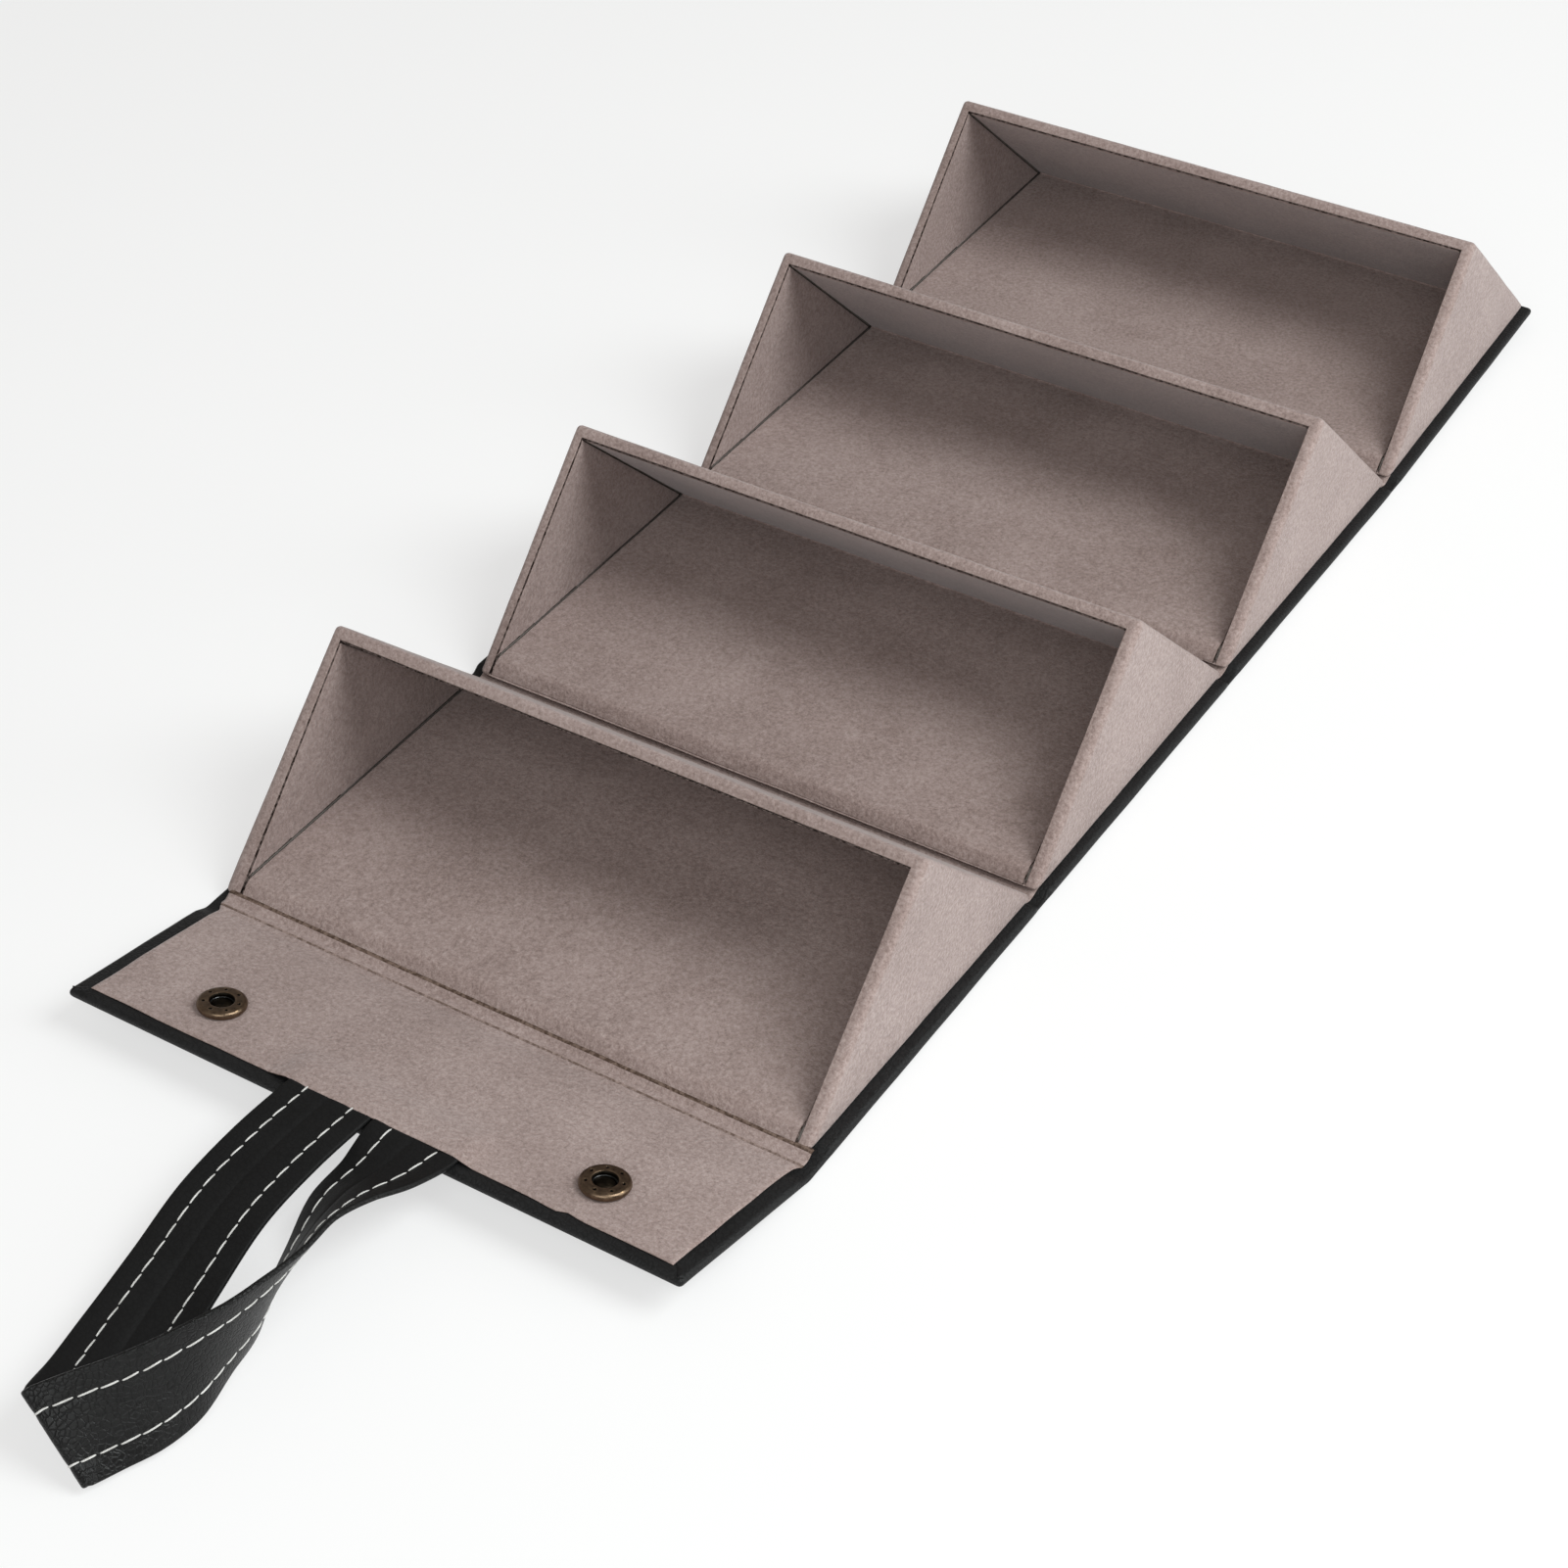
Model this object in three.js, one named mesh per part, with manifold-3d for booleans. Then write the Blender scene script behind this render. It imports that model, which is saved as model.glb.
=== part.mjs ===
// Roll-up storage case for four pairs of sunglasses, lying open on a table.
// Four triangular suede trays stand on one leatherette cover that folds between them.
// A snap flap closes the roll, and a folded strap on the flap's edge is the handle.
// Millimetres, +Z up, +Y towards the far tray. The origin is the middle of the first panel's underside.
import * as THREE from 'three';
import { mergeVertices } from 'three/addons/utils/BufferGeometryUtils.js';
import Module from 'manifold-3d';

const wasm = await Module();
wasm.setup();

// Trays
const TRAY_COUNT = 4;
const TRAY_WIDTH = 172.4;
const TRAY_BASE = 102.8;
const TRAY_HEIGHT = 51.2;
const TRAY_GAP = 1.8;
const WRAP = 0.5;
const WALL_BOARD = 2.6;
const WALL_LINING = 0.5;
const BASE_EDGE_RADIUS = 0.8;
const RIDGE_RADIUS = 1.4;
const TRAY_END_ROUND = 0.7;

// Cover: leatherette below and turned over the edges, board between, suede lining on top
const COVER_MARGIN = 2.9;
const LEATHER = 0.6;
const PANEL_BOARD = 1.2;
const PANEL_LINING = 0.5;
const HEM = 10;
const LINING_INSET = 4.5;
const FREE_STRIP = 9;
const FAR_MARGIN = 0.2;
const COVER_CORNER = 3;
const COVER_EDGE_ROUND = 0.8;

// Fold lines: their heights above the underside, and the cut where the sheet is divided
const FOLD_HEIGHT = 2.1;
const FLAP_FOLD_HEIGHT = 1.7;
const FOLD_CUT = 0.3;

// Flap
const FLAP_AXIS_OFFSET = 5.3;
const FLAP_LENGTH = 49.2;
const FLAP_LINING_INSET = 3.2;
const FLAP_STRIP = 6;
const FLAP_REST_DEG = 11;
const FLAP_CLOSED_DEG = 85;

// Snaps
const SNAP_INSET = 30.8;
const SNAP_REACH = 33.3;
const SOCKET_RADIUS = 6.1;
const SOCKET_HEIGHT = 2.2;
const SOCKET_MOUTH = 2.9;
const SOCKET_BASE = 0.45;
const SOCKET_FOOT_ROUND = 0.9;
const SOCKET_TOP_ROUND = 1.1;
const SOCKET_LIP = 0.4;
const CAP_RADIUS = 6.2;
const CAP_HEIGHT = 2;
const SHANK_RADIUS = 1.7;
const RIVET_RADIUS = 2.4;
const RIVET_HEAD = 0.25;
const SPRING_WIRE = 0.3;
const SPRING_OPENING = 0.5;
const STUD_HEIGHT = 2.2;
const STUD_RADIUS = 2.2;
const STUD_TIP = 1.3;
const STUD_NECK = 1.75;
const STUD_FLANGE = 3.5;
const STUD_FLANGE_THICKNESS = 0.4;
const POST_RADIUS = 1.2;
const POST_HEAD = 4.5;
const POST_HEAD_THICKNESS = 0.4;

// Handle strap
const STRAP_WIDTH = 24;
const STRAP_THICKNESS = 1.4;
const STRAP_LEG_GAP = 0.6;
const STRAP_TAB = 12;
const STRAP_FOLD_CUT = 0.5;

// Clearances: glue line between layers, and room round a rivet or a strap
const GLUE = 0.1;
const HOLE_CLEARANCE = 0.15;
const POCKET_CLEARANCE = 0.3;

// Facets of round pieces
const ROUND_STEPS = 24;
const SPRING_STEPS = 18;
const STRAP_STEPS = 4;

// Derived sizes
const PITCH = TRAY_BASE + TRAY_GAP;
const COVER_WIDTH = TRAY_WIDTH + 2 * COVER_MARGIN;
const BOARD_Z = LEATHER + GLUE;
const HEM_Z = BOARD_Z + PANEL_BOARD + GLUE;
const COVER_TOP = HEM_Z + LEATHER;
const LINING_Z = COVER_TOP + GLUE;
const LINING_TOP = LINING_Z + PANEL_LINING;
const TRAY_Z = COVER_TOP + GLUE;
const LINER_OFFSET = WRAP + GLUE + WALL_BOARD + GLUE;
const WALL = LINER_OFFSET + WALL_LINING;
const BOARD_HALF = (PITCH - FREE_STRIP) / 2;
const FLAP_AXIS_Y = -TRAY_BASE / 2 - FLAP_AXIS_OFFSET;
const FLAP_REST = THREE.MathUtils.degToRad(FLAP_REST_DEG);
const FLAP_CLOSED = THREE.MathUtils.degToRad(FLAP_CLOSED_DEG);
const SOCKET_SEAT = LINING_TOP + GLUE;

// The studs sit where the sockets arrive when the case is rolled up and the flap is closed.
const STUD_DISTANCE = PITCH + FOLD_HEIGHT - FLAP_FOLD_HEIGHT - SNAP_REACH * Math.sin(FLAP_CLOSED)
  - (SOCKET_SEAT + SOCKET_HEIGHT / 2 - FLAP_FOLD_HEIGHT) * Math.cos(FLAP_CLOSED);
const STUD_Y = STUD_DISTANCE - PITCH / 2;
// Lying open, the far panel rests on its studs and so leans up a little.
const STUD_LEAN = Math.asin((STUD_HEIGHT + GLUE) / (STUD_DISTANCE - STUD_TIP));

const COLOURS = {
  suede: { color: 0x9b8c8a, roughness: 0.95, metalness: 0 },
  leather: { color: 0x1b1a1b, roughness: 0.55, metalness: 0 },
  board: { color: 0x8f8a80, roughness: 0.9, metalness: 0 },
  brass: { color: 0x6d5138, roughness: 0.35, metalness: 1 },
  steel: { color: 0x9a9a98, roughness: 0.35, metalness: 1 },
};

// Geometry helpers
function solid(geometry) {
  const bare = geometry.clone();
  bare.deleteAttribute('normal');
  bare.deleteAttribute('uv');
  const merged = mergeVertices(bare, 1e-4);
  return new wasm.Manifold(new wasm.Mesh({
    numProp: 3,
    vertProperties: new Float32Array(merged.attributes.position.array),
    triVerts: new Uint32Array(merged.index.array),
  }));
}

function geometryOf(body) {
  const mesh = body.getMesh();
  const geometry = new THREE.BufferGeometry();
  geometry.setAttribute('position', new THREE.BufferAttribute(new Float32Array(mesh.vertProperties), 3));
  geometry.setIndex(new THREE.BufferAttribute(new Uint32Array(mesh.triVerts), 1));
  geometry.computeVertexNormals();
  return geometry;
}

function block(x0, x1, y0, y1, z0, z1) {
  const geometry = new THREE.BoxGeometry(x1 - x0, y1 - y0, z1 - z0);
  geometry.translate((x0 + x1) / 2, (y0 + y1) / 2, (z0 + z1) / 2);
  return solid(geometry);
}

// A section drawn as (y, z) and run along X from x0 to x1, with its end edges rounded if asked
function prism(section, x0, x1, round = 0) {
  const shape = section instanceof THREE.Shape ? section : new THREE.Shape(section);
  const geometry = new THREE.ExtrudeGeometry(shape, {
    depth: x1 - x0 - 2 * round,
    curveSegments: 4,
    bevelEnabled: round > 0,
    bevelThickness: round,
    bevelSize: round,
    bevelOffset: -round,
    bevelSegments: 2,
  });
  geometry.translate(0, 0, round);
  const toX = new THREE.Matrix4().makeBasis(
    new THREE.Vector3(0, 1, 0), new THREE.Vector3(0, 0, 1), new THREE.Vector3(1, 0, 0));
  geometry.applyMatrix4(toX);
  geometry.translate(x0, 0, 0);
  return solid(geometry);
}

function lathe(profile, x, y, z) {
  const points = profile.map(([radius, height]) => new THREE.Vector2(radius, height));
  const geometry = new THREE.LatheGeometry(points, ROUND_STEPS);
  geometry.rotateX(Math.PI / 2);
  geometry.translate(x, y, z);
  return solid(geometry);
}

function pin(radius, x, y, z0, z1) {
  const geometry = new THREE.CylinderGeometry(radius, radius, z1 - z0, ROUND_STEPS);
  geometry.rotateX(Math.PI / 2);
  geometry.translate(x, y, (z0 + z1) / 2);
  return solid(geometry);
}

function addPiece(group, name, body, colour) {
  const material = new THREE.MeshStandardMaterial(COLOURS[colour]);
  const mesh = new THREE.Mesh(geometryOf(body), material);
  mesh.name = name;
  group.add(mesh);
}

// Tray section: an isosceles triangle, here drawn inwards by a distance and with round corners
const TRAY_CORNERS = [
  new THREE.Vector2(-TRAY_BASE / 2, TRAY_Z),
  new THREE.Vector2(TRAY_BASE / 2, TRAY_Z),
  new THREE.Vector2(0, TRAY_Z + TRAY_HEIGHT),
];
const TRAY_SLANT = Math.hypot(TRAY_BASE / 2, TRAY_HEIGHT);
const TRAY_INRADIUS = TRAY_BASE * TRAY_HEIGHT / (TRAY_BASE + 2 * TRAY_SLANT);
const TRAY_INCENTRE = new THREE.Vector2(0, TRAY_Z + TRAY_INRADIUS);
const BACK_SLOPE = new THREE.Vector2(-TRAY_BASE / 2, TRAY_HEIGHT).normalize();

function insetCorners(distance) {
  const share = 1 - distance / TRAY_INRADIUS;
  return TRAY_CORNERS.map((corner) => TRAY_INCENTRE.clone().lerp(corner, share));
}

function traySection(inset) {
  const radii = [BASE_EDGE_RADIUS, BASE_EDGE_RADIUS, RIDGE_RADIUS];
  const centres = radii.map((radius, i) => insetCorners(radius)[i]);
  const outward = TRAY_CORNERS.map((corner, i) => {
    const along = TRAY_CORNERS[(i + 1) % 3].clone().sub(corner);
    return Math.atan2(-along.x, along.y);
  });
  const shape = new THREE.Shape();
  centres.forEach((centre, i) => {
    shape.absarc(centre.x, centre.y, radii[i] - inset, outward[(i + 2) % 3], outward[i], false);
  });
  return shape;
}

function trayPrism(inset) {
  const half = TRAY_WIDTH / 2 - inset;
  const round = Math.min(TRAY_END_ROUND, BASE_EDGE_RADIUS) - inset;
  return prism(traySection(inset), -half, half, Math.max(round, 0));
}

// Everything above the floor and in front of the back wall, when both are given this thickness
function trayHollow(thickness, x0, x1) {
  const reach = TRAY_BASE + TRAY_HEIGHT;
  const backNormal = new THREE.Vector2(BACK_SLOPE.y, -BACK_SLOPE.x);
  const onBack = TRAY_CORNERS[1].clone().addScaledVector(backNormal, -thickness);
  const rise = (thickness - (onBack.y - TRAY_Z)) / BACK_SLOPE.y;
  const hinge = onBack.addScaledVector(BACK_SLOPE, rise);
  const floorFar = new THREE.Vector2(hinge.x - reach, hinge.y);
  const backFar = hinge.clone().addScaledVector(BACK_SLOPE, reach);
  return prism([hinge, backFar, floorFar], x0, x1);
}

function addTray(group, number) {
  const name = (piece) => `tray_${number}_${piece}`;
  const half = TRAY_WIDTH / 2;
  const boardEnd = half - WRAP - GLUE;
  const boardInner = boardEnd - WALL_BOARD;
  const linerEnd = boardInner - GLUE;
  const linerInner = linerEnd - WALL_LINING;
  const floorHalf = linerInner - GLUE;

  // Suede wrap: a thin skin over the board box, turned in round the mouth
  const mouth = trayHollow(WALL, -half + WALL, half - WALL);
  addPiece(group, name('wrap'), trayPrism(0).subtract(trayPrism(WRAP)).subtract(mouth), 'suede');

  // Boards: two full triangles at the ends, floor and back between them
  const core = trayPrism(WRAP + GLUE);
  const low = TRAY_Z - 1;
  const high = TRAY_Z + TRAY_HEIGHT;
  const front = -TRAY_BASE / 2;
  const slab = (x0, x1) => core.intersect(block(x0, x1, front, -front, low, high));
  addPiece(group, name('left_board'), slab(-half, -boardInner), 'board');
  addPiece(group, name('right_board'), slab(boardInner, half), 'board');
  const between = slab(-linerEnd, linerEnd);
  const floorTop = TRAY_Z + WRAP + GLUE + WALL_BOARD;
  const floorSlab = block(-half, half, front, -front, low, floorTop);
  const underBack = block(-half, half, front, -front, low, floorTop + GLUE);
  addPiece(group, name('floor_board'), between.intersect(floorSlab), 'board');
  const backCavity = trayHollow(WRAP + GLUE + WALL_BOARD, -half, half);
  addPiece(group, name('back_board'), between.subtract(backCavity).subtract(underBack), 'board');

  // Linings: one sheet over floor and back, and a triangle at each end
  const inside = core.intersect(trayHollow(LINER_OFFSET, -half, half));
  const lined = trayHollow(WALL, -half, half);
  const span = block(-floorHalf, floorHalf, front, -front, low, high);
  addPiece(group, name('floor_back_lining'), inside.intersect(span).subtract(lined), 'suede');
  const endSheet = (x0, x1) => inside.intersect(block(x0, x1, front, -front, low, high));
  addPiece(group, name('left_lining'), endSheet(-linerEnd, -linerInner), 'suede');
  addPiece(group, name('right_lining'), endSheet(linerInner, linerEnd), 'suede');
}

// Cover plate: the board pocket with its turned hems, open at the fold lines and closed at a free edge
function coverPlate(boardStart, boardEnd, startIsFree, endIsFree) {
  const half = COVER_WIDTH / 2;
  const past = 2 * COVER_CORNER;
  const y0 = startIsFree ? boardStart - LEATHER - GLUE : boardStart - past;
  const y1 = endIsFree ? boardEnd + LEATHER + GLUE : boardEnd + past;
  const outline = new THREE.Shape();
  outline.absarc(half - COVER_CORNER, y0 + COVER_CORNER, COVER_CORNER, -Math.PI / 2, 0);
  outline.absarc(half - COVER_CORNER, y1 - COVER_CORNER, COVER_CORNER, 0, Math.PI / 2);
  outline.absarc(-half + COVER_CORNER, y1 - COVER_CORNER, COVER_CORNER, Math.PI / 2, Math.PI);
  outline.absarc(-half + COVER_CORNER, y0 + COVER_CORNER, COVER_CORNER, Math.PI, 1.5 * Math.PI);
  const geometry = new THREE.ExtrudeGeometry(outline, {
    depth: COVER_TOP - 2 * COVER_EDGE_ROUND,
    curveSegments: 4,
    bevelThickness: COVER_EDGE_ROUND,
    bevelSize: COVER_EDGE_ROUND,
    bevelOffset: -COVER_EDGE_ROUND,
    bevelSegments: 2,
  });
  geometry.translate(0, 0, COVER_EDGE_ROUND);
  const cut0 = startIsFree ? y0 : boardStart;
  const cut1 = endIsFree ? y1 : boardEnd;
  const keep = block(-half, half, cut0, cut1, 0, COVER_TOP);
  const pocket0 = startIsFree ? boardStart - GLUE : boardStart - past;
  const pocket1 = endIsFree ? boardEnd + GLUE : boardEnd + past;
  const pocketHalf = half - LEATHER;
  const pocket = block(-pocketHalf, pocketHalf, pocket0, pocket1, LEATHER, HEM_Z);
  const window0 = startIsFree ? y0 + HEM : boardStart - past;
  const window1 = endIsFree ? y1 - HEM : boardEnd + past;
  const window = block(-half + HEM, half - HEM, window0, window1, LEATHER, COVER_TOP + LEATHER);
  return solid(geometry).intersect(keep).subtract(pocket).subtract(window);
}

// Lining: laid in between the hems, or over them on the flap, and down to the cover at the fold lines
function liningSheet(boardStart, boardEnd, startEdge, endEdge, freeEnd) {
  const wide = COVER_WIDTH / 2 - LINING_INSET;
  const narrow = COVER_WIDTH / 2 - HEM - GLUE;
  const overHems = freeEnd === 'start';
  const top = overHems ? LINING_TOP : COVER_TOP;
  const step = GLUE + PANEL_LINING;
  const low = LEATHER + GLUE;
  const inlay0 = freeEnd === 'start' ? boardStart - LEATHER + HEM : boardStart - step;
  const inlay1 = freeEnd === 'end' ? boardEnd + LEATHER - HEM : boardEnd + step;
  let sheet = block(-narrow, narrow, inlay0, inlay1, HEM_Z, top);
  if (overHems) {
    sheet = sheet.add(block(-wide, wide, startEdge, inlay1, LINING_Z, LINING_TOP));
  } else {
    sheet = sheet.add(block(-wide, wide, inlay0, boardStart - GLUE, low, top));
    sheet = sheet.add(block(-wide, wide, startEdge, boardStart - GLUE, low, low + PANEL_LINING));
  }
  if (freeEnd !== 'end') {
    sheet = sheet.add(block(-wide, wide, boardEnd + GLUE, inlay1, low, top));
    sheet = sheet.add(block(-wide, wide, boardEnd + GLUE, endEdge, low, low + PANEL_LINING));
  }
  return sheet;
}

function panelBoard(boardStart, boardEnd) {
  const half = COVER_WIDTH / 2 - LEATHER - GLUE;
  return block(-half, half, boardStart, boardEnd, BOARD_Z, BOARD_Z + PANEL_BOARD);
}

// One panel of the cover: from fold line to fold line, the first reaching to the flap, the last free
function panelPieces(number) {
  const first = number === 1;
  const last = number === TRAY_COUNT;
  const half = COVER_WIDTH / 2;
  const boardStart = -BOARD_HALF;
  const boardEnd = last ? TRAY_BASE / 2 + FAR_MARGIN - LEATHER - GLUE : BOARD_HALF;
  const startEdge = (first ? FLAP_AXIS_Y : -PITCH / 2) + FOLD_CUT / 2;
  const endEdge = PITCH / 2 - FOLD_CUT / 2;
  let cover = coverPlate(boardStart, boardEnd, false, last);
  const overlap = LEATHER;
  cover = cover.add(block(-half, half, startEdge, boardStart + overlap, 0, LEATHER));
  if (!last) {
    cover = cover.add(block(-half, half, boardEnd - overlap, endEdge, 0, LEATHER));
  }
  const lining = liningSheet(boardStart, boardEnd, startEdge, endEdge, last ? 'end' : 'none');
  return { cover, board: panelBoard(boardStart, boardEnd), lining };
}

function snapSides() {
  const x = TRAY_WIDTH / 2 - SNAP_INSET;
  return [['left', -x], ['right', x]];
}

// Studs under the last panel, each held by a post riveted through from above the board
function addStuds(group, panel) {
  const boardTop = BOARD_Z + PANEL_BOARD;
  const headZ = boardTop + GLUE;
  for (const [side, x] of snapSides()) {
    const hole = pin(POST_RADIUS + HOLE_CLEARANCE, x, STUD_Y, -1, headZ);
    panel.cover = panel.cover.subtract(hole);
    panel.board = panel.board.subtract(hole);
    panel.lining = panel.lining.subtract(pin(POST_HEAD + HOLE_CLEARANCE, x, STUD_Y, boardTop, LINING_TOP));

    const bore = POST_RADIUS + HOLE_CLEARANCE;
    const boreDepth = STUD_HEIGHT / 2 + HOLE_CLEARANCE;
    const stud = lathe([
      [0, -STUD_HEIGHT],
      [STUD_TIP, -STUD_HEIGHT],
      [STUD_RADIUS, -0.75 * STUD_HEIGHT],
      [STUD_RADIUS, -0.6 * STUD_HEIGHT],
      [STUD_NECK, -0.35 * STUD_HEIGHT],
      [STUD_NECK, -STUD_FLANGE_THICKNESS],
      [STUD_FLANGE, -STUD_FLANGE_THICKNESS],
      [STUD_FLANGE, 0],
      [bore, 0],
      [bore, -boreDepth],
      [0, -boreDepth],
    ], x, STUD_Y, -GLUE);
    addPiece(group, `${side}_stud`, stud, 'brass');

    const post = lathe([
      [0, -STUD_HEIGHT / 2],
      [POST_RADIUS, -STUD_HEIGHT / 2],
      [POST_RADIUS, headZ],
      [POST_HEAD, headZ],
      [POST_HEAD, headZ + POST_HEAD_THICKNESS],
      [0, headZ + POST_HEAD_THICKNESS],
    ], x, STUD_Y, 0);
    addPiece(group, `${side}_post`, post, 'steel');
  }
}

// Sockets on the flap's lining, each riveted to a cap on the outside
function addSockets(group, flap) {
  for (const [side, x] of snapSides()) {
    const y = -SNAP_REACH;
    const hole = pin(SHANK_RADIUS + HOLE_CLEARANCE, x, y, -1, SOCKET_SEAT + 1);
    flap.cover = flap.cover.subtract(hole);
    flap.board = flap.board.subtract(hole);
    flap.lining = flap.lining.subtract(hole);

    const groove = SOCKET_MOUTH + 2 * SPRING_WIRE;
    const bore = SHANK_RADIUS + HOLE_CLEARANCE;
    const socket = lathe([
      [bore, 0],
      [SOCKET_RADIUS - SOCKET_FOOT_ROUND, 0],
      [SOCKET_RADIUS, 0.3 * SOCKET_HEIGHT],
      [SOCKET_RADIUS, 0.6 * SOCKET_HEIGHT],
      [SOCKET_RADIUS - SOCKET_LIP, 0.9 * SOCKET_HEIGHT],
      [SOCKET_RADIUS - SOCKET_TOP_ROUND, SOCKET_HEIGHT],
      [SOCKET_MOUTH + SOCKET_LIP, SOCKET_HEIGHT],
      [SOCKET_MOUTH, 0.88 * SOCKET_HEIGHT],
      [SOCKET_MOUTH, 0.7 * SOCKET_HEIGHT],
      [groove, 0.65 * SOCKET_HEIGHT],
      [groove, SOCKET_BASE],
      [bore, SOCKET_BASE],
      [bore, 0],
    ], x, y, SOCKET_SEAT);
    addPiece(group, `${side}_socket`, socket, 'brass');

    const rivetZ = SOCKET_SEAT + SOCKET_BASE + GLUE;
    const cap = lathe([
      [0, -CAP_HEIGHT],
      [0.45 * CAP_RADIUS, -0.92 * CAP_HEIGHT],
      [0.8 * CAP_RADIUS, -0.65 * CAP_HEIGHT],
      [CAP_RADIUS, -0.2 * CAP_HEIGHT],
      [CAP_RADIUS, -GLUE],
      [SHANK_RADIUS, -GLUE],
      [SHANK_RADIUS, rivetZ],
      [RIVET_RADIUS, rivetZ],
      [RIVET_RADIUS, rivetZ + RIVET_HEAD],
      [0, rivetZ + RIVET_HEAD],
    ], x, y, 0);
    addPiece(group, `${side}_cap`, cap, 'brass');
    const springZ = SOCKET_SEAT + SOCKET_HEIGHT / 2 - SPRING_WIRE;
    addPiece(group, `${side}_spring`, springRing(x, y, springZ), 'steel');
  }
}

// A split ring of wire that sits in the socket's groove
function springRing(x, y, z) {
  const radius = SOCKET_MOUTH + SPRING_WIRE - GLUE;
  const points = [];
  for (let i = 0; i <= SPRING_STEPS; i += 1) {
    const angle = SPRING_OPENING + (i / SPRING_STEPS) * (2 * Math.PI - 2 * SPRING_OPENING);
    points.push(new THREE.Vector3(x + radius * Math.cos(angle), y + radius * Math.sin(angle), z));
  }
  const wire = new THREE.Shape();
  wire.absarc(0, 0, SPRING_WIRE, 0, 2 * Math.PI);
  const geometry = new THREE.ExtrudeGeometry(wire, {
    steps: SPRING_STEPS,
    curveSegments: 6,
    extrudePath: new THREE.CatmullRomCurve3(points),
  });
  return solid(geometry);
}

// The flap, drawn flat from its fold line at y = 0 towards -Y, then turned up to its rest angle
function flapPieces() {
  const half = COVER_WIDTH / 2;
  const boardStart = -FLAP_LENGTH + LEATHER + GLUE;
  const boardEnd = -FLAP_STRIP / 2;
  const foldEdge = -FOLD_CUT / 2;
  let cover = coverPlate(boardStart, boardEnd, true, false);
  cover = cover.add(block(-half, half, boardEnd - LEATHER, foldEdge, 0, LEATHER));
  let board = panelBoard(boardStart, boardEnd);
  let lining = liningSheet(boardStart, boardEnd, -FLAP_LENGTH + FLAP_LINING_INSET, foldEdge, 'start');

  // Room for the two strap ends between cover and lining
  const room = STRAP_WIDTH + STRAP_LEG_GAP / 2 + POCKET_CLEARANCE;
  const tabEnd = -FLAP_LENGTH + STRAP_TAB + POCKET_CLEARANCE;
  const notch = block(-room, room, -FLAP_LENGTH - 1, tabEnd, LEATHER, LINING_Z);
  cover = cover.subtract(notch);
  board = board.subtract(notch);
  lining = lining.subtract(notch);
  return { cover, board, lining };
}

function addStrapEnds(group) {
  const middle = (LEATHER + LINING_Z) / 2;
  const z0 = middle - STRAP_THICKNESS / 2;
  const y0 = -FLAP_LENGTH + STRAP_FOLD_CUT / 2;
  const y1 = -FLAP_LENGTH + STRAP_TAB;
  const inner = STRAP_LEG_GAP / 2;
  const outer = inner + STRAP_WIDTH;
  addPiece(group, 'handle_left_end', block(-outer, -inner, y0, y1, z0, z0 + STRAP_THICKNESS), 'leather');
  addPiece(group, 'handle_right_end', block(inner, outer, y0, y1, z0, z0 + STRAP_THICKNESS), 'leather');
}

// Handle loop: middle of the strap from the left leg round to the right, measured from the flap's edge,
// with the direction of its outer edge at each place. It lies on the table and folds back on itself.
const LEG_X = (STRAP_WIDTH + STRAP_LEG_GAP) / 2;
const STRAP_ROUTE = [
  [[-LEG_X, 0, 0], [-1, 0, 0]],
  [[-12.8, -15.5, 2], [-1, 0, 0]],
  [[-12.6, -34, 1], [-1, 0, 0]],
  [[-11, -52.5, -2], [-1, 0, 0.08]],
  [[-9, -70, -3.8], [-0.96, 0.05, 0.27]],
  [[-6, -86, -3.4], [-0.87, 0.1, 0.48]],
  [[-2.9, -99, -2], [-0.73, 0.15, 0.66]],
  [[-2.1, -101.6, -1.4], [-0.72, 0.16, 0.67]],
  [[-1.1, -99.6, -0.2], [-0.72, 0.16, 0.67]],
  [[2.2, -94, 0.2], [-0.55, 0.15, 0.82]],
  [[7.5, -86, 1.2], [-0.37, 0.12, 0.92]],
  [[11.3, -76, 1.7], [-0.14, 0.1, 0.99]],
  [[13, -65, 1.8], [0.1, 0.05, 0.99]],
  [[11.8, -52.5, 1.8], [0.3, 0, 0.95]],
  [[10.4, -41, 1.8], [0.52, 0, 0.85]],
  [[9.4, -29.5, 2], [0.7, 0, 0.71]],
  [[9.5, -18, 2.4], [0.88, 0, 0.45]],
  [[12.1, -8, 1.2], [0.99, 0, 0.14]],
  [[LEG_X, 0, 0], [1, 0, 0]],
];

function flapPoint(reach, height) {
  const up = height - FLAP_FOLD_HEIGHT;
  return new THREE.Vector3(
    0,
    FLAP_AXIS_Y - reach * Math.cos(FLAP_REST) + up * Math.sin(FLAP_REST),
    FLAP_FOLD_HEIGHT + reach * Math.sin(FLAP_REST) + up * Math.cos(FLAP_REST));
}

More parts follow.
